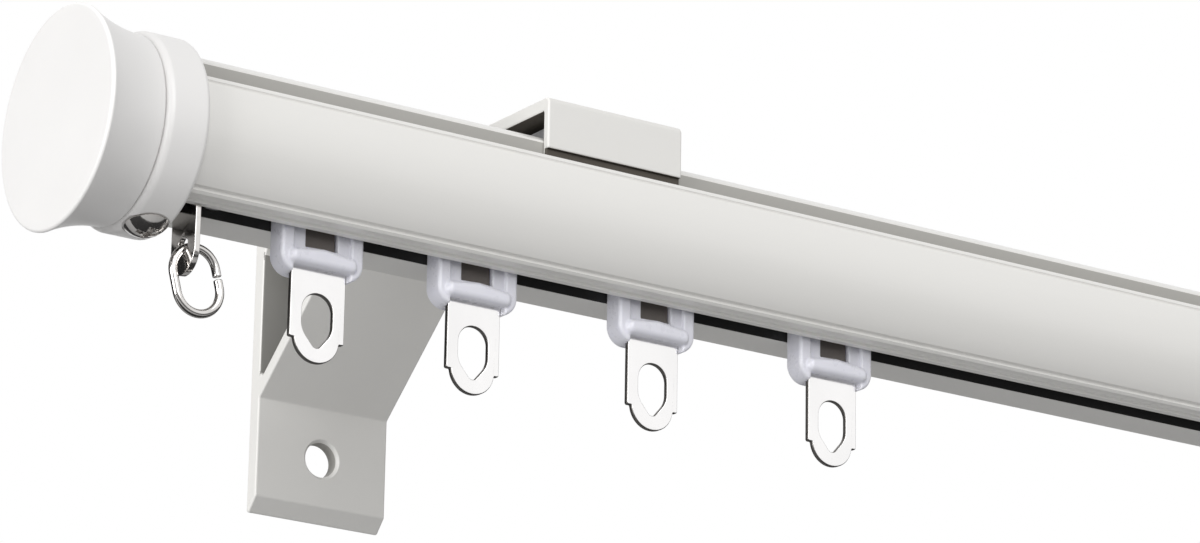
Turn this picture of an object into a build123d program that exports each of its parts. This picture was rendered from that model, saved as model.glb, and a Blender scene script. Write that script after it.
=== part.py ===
from build123d import *
import os
from math import asin, atan2, cos, degrees, hypot, radians, sin, sqrt, tan

# Round aluminium curtain rod with a hidden runner channel, two finials, two wall brackets and eight gliders.
# Millimetres. Everything is drawn about the rod: X along it from its middle, Y towards the wall, Z up.
# At the end it is moved so that the origin is the left bracket's screw hole, on the wall.

# Rod extrusion, as a section across the rod
overall_length = 600.0
rod_radius = 14.0
rod_wall = 1.2
flat_drop = 10.8  # axis to the flat underside
slot_width = 4.4
slot_shift = -2.3  # the slot lies a little to the room side of the axis
lip_thickness = 1.6
channel_width = 11.0
channel_height = 7.0
lip_ridge_width = 1.5
lip_ridge_height = 0.25
gutter_back = -8.3  # back wall of the gutter that takes the bracket's claw
gutter_floor = 5.0
gutter_lip_height = 8.0
bead_radius = 0.75
bead_line_height = 6.2
bead_line_radius = 0.3

# Finial: flared head, collar and collar screw
face_radius = 18.3
head_length = 10.9
head_waist_radius = 15.4
head_edge = 0.4
seam_gap = 0.15
stem_radius = 3.0
stem_clearance = 0.05
collar_radius = 16.2
collar_length = 7.6
collar_web = 1.5
collar_edge = 0.6
collar_clearance = 0.12
rod_end_gap = 0.1
collar_screw_place = 3.9  # from the collar's head side
screw_head_radius = 3.5
screw_head_height = 2.1
screw_shank_radius = 1.9
screw_reach = 7.4
screw_hole_clearance = 0.1
screw_seat_depth = 0.55
screw_seat_margin = 0.3
cross_width = 0.9
cross_length = 3.6
cross_depth = 1.0

# End stop, its screw and the oval ring
stop_gap = 3.5  # collar to the tab
tab_thickness = 1.0
tab_width = 7.6
tab_drop = 11.4  # flat underside to the tab's tip
tab_tip_radius = 3.8
eye_hole_rise = 4.8  # the eye hole's middle above the tab's tip
eye_hole_radius = 1.5
neck_clearance = 0.2
foot_length = 9.0
foot_thickness = 1.3
foot_clearance = 0.25
set_screw_radius = 1.5
set_screw_socket = 0.75
set_screw_sink = 2.0
ring_wire = 1.45
ring_width = 9.2
ring_height = 12.2
ring_lean = 15.0
ring_offset = 2.2  # the leaning ring's middle from the tab, along the rod
ring_split = 0.35
ring_seat_gap = 0.1

# Wall bracket
bracket_place = 98.5  # finial face to the bracket's middle
bracket_width = 26.7
wall_distance = 84.5  # rod's axis to the wall
wall_plate_thickness = 3.0
arm_clearance = 2.4  # rod's top to the arm's underside
arm_thickness = 2.3
plate_drop = 33.3  # axis to the wall plate's lower end
bevel_height = 3.4
strut_foot_drop = 12.0
strut_reach = 35.5  # wall to where the strut meets the arm
strut_thickness = 2.3
inner_rounding = 3.0
outer_rounding = 1.2
hole_drop = 21.2  # axis to the wall screw's hole
hole_radius = 3.15
hole_chamfer = 0.5
claw_thickness = 1.5
claw_clearance = 0.1
claw_bottom = 9.7
tongue_thickness = 0.9
tongue_bottom = 5.6
barb_reach = 1.5
barb_thickness = 1.1

# Lock plate and its screw, between the arm and the rod
lock_length = 20.0
lock_width = 9.0
lock_thickness = 1.3
lock_clearance = 0.05
lock_screw_radius = 2.0
lock_screw_socket = 1.0
lock_screw_sink = 1.5

# Glider: nylon body, steel eye plate and two wheelsets
glider_places = (46.5, 75.9, 111.2, 148.2)  # from the left finial's face
body_length = 15.2
body_clearance = 0.1
body_bottom = 19.4
body_top = 3.0
body_corner = 3.2
rod_body_gap = 0.35
cheek_width = 2.3
cheek_edge = 0.5
panel_recess = 0.5
window_width = 6.0
window_bottom = 14.2
bar_bottom = 17.8
bar_length = 11.2
bar_proud = 0.9
bar_edge = 0.6
bar_peak = 0.45
plate_width = 10.1
plate_thickness = 0.9
plate_setback = 1.2  # body's front to the plate's front
plate_fit = 0.05
plate_bottom = 32.4
plate_shoulder = 28.1
plate_step = 0.9
plate_top = 9.9
stem_width = 5.6
stem_bottom = 15.0
eye_width = 5.6
eye_top = 21.0
eye_bottom = 29.9
eye_tip_radius = 1.1
eye_side_bottom = 26.2
roller_radius = 2.75
roller_width = 1.8
roller_lift = 0.15
roller_gap = 0.2
axle_radius = 0.75
axle_clearance = 0.05
axle_spacing = 8.6

# Places that follow from the sizes above
half_length = overall_length / 2
lip_top = -flat_drop + lip_thickness
channel_top = lip_top + channel_height
slot_front = slot_shift - slot_width / 2
slot_back = slot_shift + slot_width / 2
collar_start = -half_length + head_length + seam_gap
collar_end = collar_start + collar_length
rod_start = collar_start + collar_web + rod_end_gap
stop_place = collar_end + stop_gap
arm_bottom = rod_radius + arm_clearance
arm_top = arm_bottom + arm_thickness
wall_front = wall_distance - wall_plate_thickness
axle_height = lip_top + roller_lift + roller_radius
screw_axis_angle = degrees(atan2(-slot_shift, flat_drop))
screw_seat_radius = collar_radius - screw_seat_depth
eye_hole_height = -flat_drop - tab_drop + eye_hole_rise
stop_screw_place = stop_place + foot_length * 0.6
body_front = slot_front + body_clearance
body_back = slot_back - body_clearance
body_shoulder = -flat_drop - lip_ridge_height - rod_body_gap
plate_front = body_front + plate_setback
plate_back = plate_front + plate_thickness

on_end = (Align.CENTER, Align.CENTER, Align.MIN)


def box(x0, x1, y0, y1, z0, z1):
    """A block between two corners."""
    middle = Pos((x0 + x1) / 2, (y0 + y1) / 2, (z0 + z1) / 2)
    return middle * Box(x1 - x0, y1 - y0, z1 - z0)


def area(u0, u1, v0, v1):
    """A rectangle between two corners of a sketch."""
    return Pos((u0 + u1) / 2, (v0 + v1) / 2) * Rectangle(u1 - u0, v1 - v0)


def outline(*points):
    """A face with straight sides through the points."""
    return make_face(Polyline(*points, close=True))


def along_rod(section, x0, x1):
    """A section across the rod, Y and Z, drawn out from x0 to x1."""
    return Pos(x0, 0, 0) * extrude(Plane.YZ * section, x1 - x0)


def front_view(shape, y_front, thickness):
    """A shape seen from the room, X and Z, with its front at y_front and its thickness towards the wall."""
    return Pos(0, y_front, 0) * extrude(Plane.XZ * shape, -thickness)


def turned(profile):
    """A profile of (distance along X, radius), turned about the rod's axis."""
    return revolve(Plane.XY * profile, Axis.X)


def rod_section():
    """The rod's section: round skin, flat underside, slotted channel, gutter for the claw, and one hollow."""
    reach = 2 * rod_radius
    skin = Circle(rod_radius) - area(-reach, reach, -reach, -flat_drop)
    for edge, side in ((slot_front, -1), (slot_back, 1)):
        ends = sorted((edge, edge + side * lip_ridge_width))
        skin += area(*ends, -flat_drop - lip_ridge_height, -flat_drop + lip_ridge_height)
    channel = area(slot_shift - channel_width / 2, slot_shift + channel_width / 2, lip_top, channel_top)
    slot = area(slot_front, slot_back, -reach, lip_top)
    inner = Circle(rod_radius - rod_wall)
    gutter = inner & area(-reach, gutter_back, gutter_floor, reach)
    mouth = area(-reach, gutter_back, gutter_lip_height, reach)
    hollow = inner - area(-reach, reach, -reach, -flat_drop + lip_thickness)
    hollow -= area(
        slot_shift - channel_width / 2 - rod_wall,
        slot_shift + channel_width / 2 + rod_wall,
        -reach,
        channel_top + rod_wall,
    )
    hollow -= area(-reach, gutter_back + rod_wall, gutter_floor - rod_wall, reach)
    section = skin - hollow - channel - slot - gutter - mouth
    bead_centre = rod_radius - bead_radius
    section += Pos(-sqrt(bead_centre**2 - gutter_lip_height**2), gutter_lip_height) * Circle(bead_radius)
    section -= Pos(-sqrt(rod_radius**2 - bead_line_height**2), bead_line_height) * Circle(bead_line_radius)
    return section


def make_rod():
    return along_rod(rod_section(), rod_start, -rod_start)


def make_head():
    """Flared head: a flat face, a hollow-curved side down to the waist, and a stem for the collar's web."""
    face = -half_length
    waist = face + head_length
    rim = (face + head_edge, face_radius)
    mid = (face + head_length * 0.5, head_waist_radius + (face_radius - head_waist_radius) * 0.3)
    side = ThreePointArc(rim, mid, (waist, head_waist_radius))
    stem_end = collar_start + collar_web
    rest = Polyline(
        (waist, head_waist_radius),
        (waist, stem_radius),
        (stem_end, stem_radius),
        (stem_end, 0),
        (face, 0),
        (face, face_radius - head_edge),
        rim,
    )
    return turned(make_face([side, rest]))


def at_collar_screw():
    """Place of the collar screw: its own Z points out of the collar, down through the slot's middle."""
    place = Pos(collar_start + collar_screw_place, 0, 0) * Rot(-screw_axis_angle, 0, 0)
    return place * Rot(180, 0, 0)


def make_collar():
    """Cup over the rod's end, with a web that the head's stem enters and a spot-faced screw hole."""
    profile = outline(
        (collar_start, stem_radius + stem_clearance),
        (collar_start, collar_radius - collar_edge),
        (collar_start + collar_edge, collar_radius),
        (collar_end - collar_edge, collar_radius),
        (collar_end, collar_radius - collar_edge),
        (collar_end, rod_radius + collar_clearance),
        (collar_start + collar_web, rod_radius + collar_clearance),
        (collar_start + collar_web, stem_radius + stem_clearance),
    )
    seat = Cylinder(screw_head_radius + screw_seat_margin, collar_radius, align=on_end)
    hole = Cylinder(screw_shank_radius + screw_hole_clearance, collar_radius, align=on_end)
    return turned(profile) - at_collar_screw() * (Pos(0, 0, screw_seat_radius) * seat + hole)


def make_collar_screw():
    """Domed screw with a cross recess, standing on the collar's spot face."""
    top = screw_head_height
    dome = outline(
        (0, top),
        (screw_head_radius * 0.5, top * 0.9),
        (screw_head_radius * 0.85, top * 0.55),
        (screw_head_radius, top * 0.2),
        (screw_head_radius, 0),
        (screw_shank_radius, 0),
        (screw_shank_radius, -screw_reach),
        (0, -screw_reach),
    )
    screw = revolve(Plane.XZ * dome, Axis.Z)
    for turn in (0, 90):
        screw -= Pos(0, 0, top) * Rot(0, 0, 45 + turn) * Box(cross_length, cross_width, 2 * cross_depth)
    return at_collar_screw() * Pos(0, 0, screw_seat_radius) * screw


def tab_outline():
    """The tab below the rod: straight sides drawn in to a round tip, in Y and Z."""
    upper = body_shoulder - tab_width / 2
    shape = area(slot_shift - tab_width / 2, slot_shift + tab_width / 2, upper, body_shoulder)
    lower = make_hull(
        [
            *(Pos(slot_shift, tab_tip_radius - flat_drop - tab_drop) * Circle(tab_tip_radius)).edges(),
            Line((slot_shift - tab_width / 2, upper), (slot_shift + tab_width / 2, upper)),
        ]
    )
    return shape + lower


def make_end_stop():
    """Steel angle: a foot on the channel's lips, a neck through the slot and a tab with an eye hole."""
    x0, x1 = stop_place, stop_place + tab_thickness
    neck = area(
        slot_front + neck_clearance, slot_back - neck_clearance, body_shoulder, lip_top + foot_thickness
    )
    eye = Pos(slot_shift, eye_hole_height) * Circle(eye_hole_radius)
    tab = along_rod(tab_outline() + neck - eye, x0, x1)
    half = channel_width / 2 - foot_clearance
    foot = box(x0, x0 + foot_length, slot_shift - half, slot_shift + half, lip_top, lip_top + foot_thickness)
    hole = Pos(stop_screw_place, slot_shift, lip_top) * Cylinder(set_screw_radius, 4 * foot_thickness)
    return tab + foot - hole


def make_end_stop_screw():
    """Set screw that lifts off the channel's roof and presses the foot on the lips."""
    bottom = lip_top - lip_thickness / 2
    screw = Cylinder(set_screw_radius, channel_top - bottom, align=on_end)
    socket = extrude(RegularPolygon(set_screw_socket, 6), set_screw_sink)
    return Pos(stop_screw_place, slot_shift, bottom) * (screw - socket)


def make_end_ring():
    """Oval wire ring with straight sides and one split, hanging in the tab's eye and leaning along the rod."""
    bend = (ring_width - ring_wire) / 2
    straight = (ring_height - ring_width) / 2
    wire = Circle(ring_wire / 2)
    arch = Pos(0, 0, straight) * revolve(Pos(-bend, 0) * wire, Axis.Y, 180)
    side = Pos(bend, 0, -straight) * extrude(wire, 2 * straight)
    half = arch + side
    ring = half + Rot(0, 180, 0) * half
    ring -= Pos(bend, 0, 0) * Box(2 * ring_wire, 2 * ring_wire, ring_split)
    # The leaning ring's upper bend slopes through the eye and hangs on its lower edge
    lean = radians(ring_lean)
    slope = asin((ring_offset - straight * sin(lean)) / bend)
    rise = straight * cos(lean) + bend * cos(slope)
    wire_reach = ring_wire / 2 / cos(slope) + tab_thickness / 2 * tan(slope)
    seat = eye_hole_height - eye_hole_radius + wire_reach + ring_seat_gap
    place = Pos(stop_place + tab_thickness / 2 + ring_offset, slot_shift, seat - rise)
    return place * Rot(0, -ring_lean, 0) * ring


def bracket_section():
    """Wall plate, arm, diagonal strut and claw in one outline, in Y and Z."""
    claw_back = gutter_back - claw_clearance
    claw_front = claw_back - claw_thickness
    plate = outline(
        (wall_front, arm_top),
        (wall_distance, arm_top),
        (wall_distance, -plate_drop),
        (wall_front, -plate_drop + bevel_height),
    )
    arm = area(claw_front, wall_distance, arm_bottom, arm_top)
    claw = area(claw_front, claw_back, claw_bottom, arm_top)
    tongue = area(claw_back - tongue_thickness, claw_back, tongue_bottom, claw_bottom)
    barb = area(claw_back - barb_reach, claw_back, tongue_bottom, tongue_bottom + barb_thickness)
    foot = (wall_front, -strut_foot_drop)
    head = (wall_distance - strut_reach, arm_bottom)
    run = hypot(foot[0] - head[0], foot[1] - head[1])
    slope = ((foot[0] - head[0]) / run, (foot[1] - head[1]) / run)
    over = wall_plate_thickness / 2
    near = (foot[0] + slope[0] * over, foot[1] + slope[1] * over)
    far = (head[0] - slope[0] * over, head[1] - slope[1] * over)
    side = (-slope[1] * strut_thickness, slope[0] * strut_thickness)
    strut = outline(near, far, (far[0] + side[0], far[1] + side[1]), (near[0] + side[0], near[1] + side[1]))
    inside = area(claw_front, wall_distance, -plate_drop, arm_top)
    return plate + arm + claw + tongue + barb + (strut & inside)


def make_bracket(x_middle):
    """Extruded bracket with a chamfered screw hole in its wall plate and a tapped hole in its arm."""
    half = bracket_width / 2
    solid = along_rod(bracket_section(), x_middle - half, x_middle + half)
    claw_front = gutter_back - claw_clearance - claw_thickness
    solid = round_line(solid, wall_front, arm_bottom, inner_rounding)
    solid = round_line(solid, wall_distance, arm_top, outer_rounding)
    solid = round_line(solid, claw_front, arm_top, outer_rounding)
    hole = Pos(x_middle, wall_front, -hole_drop) * Rot(-90, 0, 0) * hole_tool()
    screw = Pos(x_middle, 0, arm_bottom) * Cylinder(lock_screw_radius, 4 * arm_thickness)
    return solid - hole - screw


def round_line(solid, y, z, radius):
    """Rounds the edge along the rod that lies nearest to the line at y and z."""
    edges = solid.edges().filter_by(Axis.X)
    return fillet(min(edges, key=lambda edge: hypot(edge.center().Y - y, edge.center().Z - z)), radius)


def hole_tool():
    """Wall screw hole with a chamfered mouth, its Z pointing into the wall."""
    drill = Cylinder(hole_radius, 3 * wall_plate_thickness)
    return drill + Cone(hole_radius + hole_chamfer, hole_radius, hole_chamfer, align=on_end)


def make_lock_plate(x_middle):
    """Steel pad, hollow below to sit on the rod and flat on top for the screw."""
    top = rod_radius + lock_clearance + lock_thickness
    section = area(-lock_width / 2, lock_width / 2, rod_radius / 2, top) - Circle(rod_radius + lock_clearance)
    section &= area(gutter_back, lock_width / 2, rod_radius / 2, top)
    return along_rod(section, x_middle - lock_length / 2, x_middle + lock_length / 2)


def make_lock_screw(x_middle):
    """Set screw in the arm, pressing on the lock plate, with a six-sided socket on top."""
    bottom = rod_radius + lock_clearance + lock_thickness
    screw = Cylinder(lock_screw_radius, arm_top - bottom, align=on_end)
    socket = Pos(0, 0, arm_top - bottom) * extrude(RegularPolygon(lock_screw_socket, 6), -lock_screw_sink)
    return Pos(x_middle, 0, bottom) * (screw - socket)


def make_glider_body():
    """Nylon carriage: a neck through the slot, two cheeks, a window and a bar over the eye plate."""
    half = body_length / 2
    depth = body_back - body_front
    face = area(-half, half, -body_bottom, body_shoulder)
    lower = face.vertices().sort_by(Axis.Y)[:2]
    hanging = front_view(fillet(lower, body_corner), body_front, depth)
    hanging = chamfer(hanging.edges().filter_by(Axis.Z), cheek_edge)
    head = box(-half, half, body_front, body_back, body_shoulder, -body_top)
    body = hanging + head
    inside = half - cheek_width
    for side in (-1, 1):
        ends = sorted((side * inside, side * window_width / 2))
        body -= box(*ends, body_front, body_front + panel_recess, -bar_bottom, body_shoulder)
    body -= box(-inside, inside, body_front, plate_front, -body_bottom, -bar_bottom)
    reveal = window_width / 2
    body -= box(-reveal, reveal, body_front, plate_back, -window_bottom, lip_top)
    fit = plate_fit
    for width, low, high in ((plate_width, body_bottom, stem_bottom), (stem_width, stem_bottom, plate_top)):
        reach = width / 2 + fit
        body -= box(-reach, reach, plate_front - fit, plate_back + fit, -low, -high + fit)
    bar = front_view(
        outline(
            (-bar_length / 2, -bar_bottom),
            (bar_length / 2, -bar_bottom),
            (bar_length / 2, -window_bottom - bar_peak),
            (0, -window_bottom),
            (-bar_length / 2, -window_bottom - bar_peak),
        ),
        body_front - bar_proud,
        bar_proud + plate_setback - fit,
    )
    front_edges = bar.edges().group_by(Axis.Y)[0]
    bar = chamfer(front_edges, bar_edge)
    body += bar
    for x in (-axle_spacing / 2, axle_spacing / 2):
        bore = Rot(90, 0, 0) * Cylinder(axle_radius + axle_clearance, 2 * depth)
        body -= Pos(x, slot_shift, axle_height) * bore
    return body


def make_eye_plate():
    """Stamped plate: stem, straight sides, a step in, a round end, and an eye drawn to a rounded point."""
    end_radius = plate_width / 2 - plate_step
    end_centre = -plate_bottom + end_radius
    shape = area(-plate_width / 2, plate_width / 2, -plate_shoulder, -stem_bottom)
    shape += area(-stem_width / 2, stem_width / 2, -stem_bottom, -plate_top)
    shape += area(-end_radius, end_radius, end_centre, -stem_bottom)
    shape += Pos(0, end_centre) * Circle(end_radius)
    eye_radius = eye_width / 2
    eye = Pos(0, -eye_top - eye_radius) * Circle(eye_radius)
    eye += area(-eye_radius, eye_radius, -eye_side_bottom, -eye_top - eye_radius)
    tip = Pos(0, -eye_bottom + eye_tip_radius) * Circle(eye_tip_radius)
    eye += make_hull([*tip.edges(), Line((-eye_radius, -eye_side_bottom), (eye_radius, -eye_side_bottom))])
    return front_view(shape - eye, plate_front, plate_thickness)


def make_wheelset():
    """Two rollers on one axle, turned as one piece about Y, at the middle of the glider."""
    inner = (body_back - body_front) / 2 + roller_gap
    outer = inner + roller_width
    half_profile = outline(
        (0, 0),
        (0, axle_radius),
        (inner, axle_radius),
        (inner, roller_radius),
        (outer, roller_radius),
        (outer, 0),
    )
    half = turned(half_profile)
    whole = half + mirror(half, Plane.YZ)
    return Pos(0, slot_shift, axle_height) * Rot(0, 0, 90) * whole


def mirrored(solid):
    """The same piece for the other end of the rod."""
    return mirror(solid, Plane.YZ)


def all_pieces():
    """Every piece by name, about the rod's middle."""
    pieces = {"rod": make_rod()}
    ends = {
        "finial_head": make_head(),
        "finial_collar": make_collar(),
        "collar_screw": make_collar_screw(),
        "end_stop": make_end_stop(),
        "end_stop_screw": make_end_stop_screw(),
        "end_ring": make_end_ring(),
    }
    for name, solid in ends.items():
        pieces[f"{name}_left"] = solid
        pieces[f"{name}_right"] = mirrored(solid)
    x_bracket = -half_length + bracket_place
    for side, x in (("left", x_bracket), ("right", -x_bracket)):
        pieces[f"bracket_{side}"] = make_bracket(x)
        pieces[f"lock_plate_{side}"] = make_lock_plate(x)
        pieces[f"lock_screw_{side}"] = make_lock_screw(x)
    body, plate, wheelset = make_glider_body(), make_eye_plate(), make_wheelset()
    left = [-half_length + place for place in glider_places]
    for number, x in enumerate(left + [-x for x in reversed(left)], start=1):
        pieces[f"glider_body_{number}"] = Pos(x, 0, 0) * body
        pieces[f"eye_plate_{number}"] = Pos(x, 0, 0) * plate
        pieces[f"wheelset_{number}_a"] = Pos(x - axle_spacing / 2, 0, 0) * wheelset
        pieces[f"wheelset_{number}_b"] = Pos(x + axle_spacing / 2, 0, 0) * wheelset
    return pieces


to_wall_hole = Pos(half_length - bracket_place, -wall_distance, hole_drop)
os.makedirs("parts", exist_ok=True)
for piece_name, piece in all_pieces().items():
    export_step(to_wall_hole * piece, f"parts/{piece_name}.step")
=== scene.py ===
"""Studio scene of a round curtain rod with finials, wall brackets, gliders and end rings.

The pieces are drawn in millimetres in the rod's own frame: X along the rod from its middle, Y
towards the wall and Z up, with the rod's axis at the origin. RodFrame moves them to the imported
part's frame.
"""

from __future__ import annotations

import logging
import math
from dataclasses import dataclass, field, replace
from enum import Enum
from typing import Sequence

import bpy
import numpy as np
import openvdb
from mathutils import Matrix, Vector
from mathutils.geometry import tessellate_polygon

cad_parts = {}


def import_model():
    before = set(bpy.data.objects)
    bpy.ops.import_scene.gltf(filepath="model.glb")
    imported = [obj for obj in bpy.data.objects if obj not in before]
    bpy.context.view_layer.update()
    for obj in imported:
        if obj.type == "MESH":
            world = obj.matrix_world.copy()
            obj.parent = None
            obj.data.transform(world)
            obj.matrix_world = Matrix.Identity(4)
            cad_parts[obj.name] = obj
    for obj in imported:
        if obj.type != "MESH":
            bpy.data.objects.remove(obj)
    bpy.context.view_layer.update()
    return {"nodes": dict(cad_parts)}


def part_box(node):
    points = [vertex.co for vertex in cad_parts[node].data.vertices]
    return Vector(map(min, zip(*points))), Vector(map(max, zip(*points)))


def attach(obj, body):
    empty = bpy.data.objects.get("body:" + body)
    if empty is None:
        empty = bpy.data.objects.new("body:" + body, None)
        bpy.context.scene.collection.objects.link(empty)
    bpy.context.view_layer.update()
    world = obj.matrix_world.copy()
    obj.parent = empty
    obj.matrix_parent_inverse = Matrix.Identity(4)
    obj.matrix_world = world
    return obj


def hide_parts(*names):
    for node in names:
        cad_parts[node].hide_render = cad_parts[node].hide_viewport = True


logger = logging.getLogger("curtain_rod")

Array = np.ndarray
Point2 = tuple[float, float]
Point3 = tuple[float, float, float]
Link = tuple[bpy.types.Node, str | int, bpy.types.Node, str | int]

MM = 0.001
SHARP_ANGLE = math.radians(38.0)
PATCH_REACH = 0.1  # how far a patch's box reaches past the faces that it takes, in millimetres


class Side(Enum):
    """The two ends of the rod. The value is the sign of the end's X."""

    LEFT = -1
    RIGHT = 1

    @property
    def word(self) -> str:
        """Name of the end as it stands in the part's node names.

        Returns:
            The name.
        """
        return self.name.lower()


class Plane(Enum):
    """Planes of flat outlines: the axes of the two coordinates and of the thickness."""

    ACROSS_ROD = (1, 2, 0)
    FACING_ROOM = (0, 2, 1)


# Meshes


@dataclass(frozen=True)
class MeshData:
    """A mesh as arrays, so that it can be moved, mirrored and joined before Blender sees it.

    Attributes:
        points: Vertex places, one row each.
        corners: The vertex of each face corner, face after face.
        sizes: The number of corners of each face.
    """

    points: Array
    corners: Array
    sizes: Array

    @staticmethod
    def of_faces(points: Array, *groups: Array) -> MeshData:
        """Builds a mesh from blocks of faces.

        Args:
            points: Vertex places.
            groups: Arrays of faces, each with one face per row.

        Returns:
            The mesh with all the faces.
        """
        used = [np.asarray(g, np.int64) for g in groups if len(g)]
        corners = np.concatenate([g.ravel() for g in used])
        sizes = np.concatenate([np.full(len(g), g.shape[1]) for g in used])
        return MeshData(np.asarray(points, float), corners, sizes)

    @staticmethod
    def joined(parts: Sequence[MeshData]) -> MeshData:
        """Puts several meshes side by side in one.

        Args:
            parts: The meshes.

        Returns:
            One mesh with all of them.
        """
        starts = np.cumsum([0] + [len(p.points) for p in parts[:-1]])
        return MeshData(
            np.concatenate([p.points for p in parts]),
            np.concatenate([p.corners + s for p, s in zip(parts, starts)]),
            np.concatenate([p.sizes for p in parts]),
        )

    def turned_over(self) -> MeshData:
        """Reverses every face.

        Returns:
            The mesh with its faces looking the other way.
        """
        starts, face, place = self._corner_places()
        last = starts[face] + self.sizes[face] - 1
        return replace(self, corners=self.corners[last - place])

    def moved(self, offset: Sequence[float]) -> MeshData:
        """Shifts the mesh.

        Args:
            offset: The shift along X, Y and Z.

        Returns:
            The shifted mesh.
        """
        return replace(self, points=self.points + np.asarray(offset, float))

    def rotated(self, turn: Matrix) -> MeshData:
        """Turns the mesh about the origin.

        Args:
            turn: A rotation.

        Returns:
            The turned mesh.
        """
        return replace(self, points=self.points @ np.array(turn.to_3x3()).T)

    def on_side(self, side: Side) -> MeshData:
        """Mirrors a mesh that is drawn for the left end, if it is for the right one.

        Args:
            side: The end of the rod it is for.

        Returns:
            The mesh at that end.
        """
        if side is Side.LEFT:
            return self
        return replace(self, points=self.points * (-1, 1, 1)).turned_over()

    def outward(self) -> MeshData:
        """Makes a closed mesh's faces look outward, by the sign of the volume that they enclose.

        Returns:
            The mesh, turned over if it had to be.
        """
        starts, face, place = self._corner_places()
        at = np.flatnonzero((place > 0) & (place < self.sizes[face] - 1))
        a = self.points[self.corners[starts[face[at]]]]
        b, c = self.points[self.corners[at]], self.points[self.corners[at + 1]]
        volume = np.einsum("ij,ij->i", a, np.cross(b, c)).sum()
        return self.turned_over() if volume < 0 else self

    def _corner_places(self) -> tuple[Array, Array, Array]:
        """Finds where the face corners stand.

        Returns:
            The first corner of each face, and each corner's face and its place in that face.
        """
        starts = np.cumsum(self.sizes) - self.sizes
        face = np.repeat(np.arange(len(self.sizes)), self.sizes)
        return starts, face, np.arange(len(self.corners)) - starts[face]


def grid(points: Array, round_rows: bool = False, round_columns: bool = False) -> MeshData:
    """Joins a sheet of points into quads: row i to row i + 1, and column j to column j + 1.

    Args:
        points: Places by row and column.
        round_rows: Whether the last row joins the first.
        round_columns: Whether the last column joins the first.

    Returns:
        The sheet as a mesh.
    """
    rows, columns = points.shape[:2]
    number = np.arange(rows * columns).reshape(rows, columns)
    if round_rows:
        number = np.vstack([number, number[:1]])
    if round_columns:
        number = np.hstack([number, number[:, :1]])
    quads = np.stack([number[:-1, :-1], number[1:, :-1], number[1:, 1:], number[:-1, 1:]], axis=-1)
    return MeshData.of_faces(points.reshape(-1, 3), quads.reshape(-1, 4))


def closed_tube(rings: Array, poles: Array) -> MeshData:
    """Joins rings into a tube and closes it with a fan at each end.

    Args:
        rings: Points by ring and by place round it.
        poles: The middles of the first and the last fan.

    Returns:
        The closed surface.
    """
    tube = grid(rings, round_columns=True)
    count, start = rings.shape[1], len(tube.points)
    first = np.arange(count)
    last = first + start - count
    fans = np.concatenate(
        [
            np.stack([np.full(count, start), first, np.roll(first, -1)], axis=1),
            np.stack([np.full(count, start + 1), np.roll(last, -1), last], axis=1),
        ]
    )
    points = np.vstack([tube.points, poles])
    return MeshData.of_faces(points, tube.corners.reshape(-1, 4), fans).outward()


def without_repeats(points: Array, least: float = 1e-5) -> Array:
    """Drops each point of a closed line that lies on the one before it.

    Args:
        points: The line's points.
        least: The distance below which two points are the same.

    Returns:
        The points that stay.
    """
    step = np.linalg.norm(points - np.roll(points, 1, axis=0), axis=1)
    return points[step > least]


def rounded(corners: Sequence[Point2], radii: float | Sequence[float], steps: int = 6) -> Array:
    """Rounds the corners of a closed polygon.

    Each corner with unit sides a and b that meet at an angle t is replaced by an arc of the radius
    r whose centre lies r / sin(t / 2) along a + b. The arc's spoke turns evenly from one tangent
    point to the next.

    Args:
        corners: The polygon's corners in order.
        radii: One radius for all corners, or one for each.
        steps: Pieces that each arc is drawn with.

    Returns:
        The closed line's points.
    """
    at = np.asarray(corners, float)
    radius = np.broadcast_to(np.asarray(radii, float), (len(at),))[:, None]
    a = np.roll(at, 1, axis=0) - at
    b = np.roll(at, -1, axis=0) - at
    a /= np.linalg.norm(a, axis=1, keepdims=True)
    b /= np.linalg.norm(b, axis=1, keepdims=True)
    half = np.arccos(np.clip((a * b).sum(1, keepdims=True), -1, 1)) / 2
    middle = a + b
    middle /= np.maximum(np.linalg.norm(middle, axis=1, keepdims=True), 1e-12)
    centre = at + middle * radius / np.sin(half)
    first = at + a * radius / np.tan(half) - centre
    last = at + b * radius / np.tan(half) - centre
    sweep = np.maximum(math.pi - 2 * half, 1e-9)[:, None, :]
    share = np.linspace(0, 1, steps + 1)[None, :, None]
    spoke = np.sin((1 - share) * sweep) * first[:, None] + np.sin(share * sweep) * last[:, None]
    arcs = centre[:, None] + spoke / np.sin(sweep)
    return without_repeats(arcs.reshape(-1, 2))


def rounded_each(corners: Sequence[Point3], steps: int) -> Array:
    """Rounds each corner of a closed polygon with a radius of its own.

    Args:
        corners: The corners in order, each with its radius as the third number.
        steps: Pieces that each arc is drawn with.

    Returns:
        The closed line's points.
    """
    table = np.asarray(corners, float)
    return rounded(table[:, :2], table[:, 2], steps)


def arc(centre: Point2, radius: float, start: float, end: float, step: float) -> Array:
    """Points of a circle's arc.

    Args:
        centre: The circle's centre.
        radius: Its radius.
        start: The first point's direction in radians.
        end: The last point's direction.
        step: The greatest turn between points.

    Returns:
        The points, both ends among them.
    """
    count = max(int(math.ceil(abs(end - start) / step)), 1)
    turn = np.linspace(start, end, count + 1)
    return np.asarray(centre) + radius * np.stack([np.cos(turn), np.sin(turn)], axis=1)


def circle(centre: Point2, radius: float, count: int = 64) -> Array:
    """Points of a full circle, anticlockwise.

    Args:
        centre: The circle's centre.
        radius: Its radius.
        count: The number of points.

    Returns:
        The points.
    """
    turn = np.linspace(0, 2 * math.pi, count, endpoint=False)
    return np.asarray(centre) + radius * np.stack([np.cos(turn), np.sin(turn)], axis=1)


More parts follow.
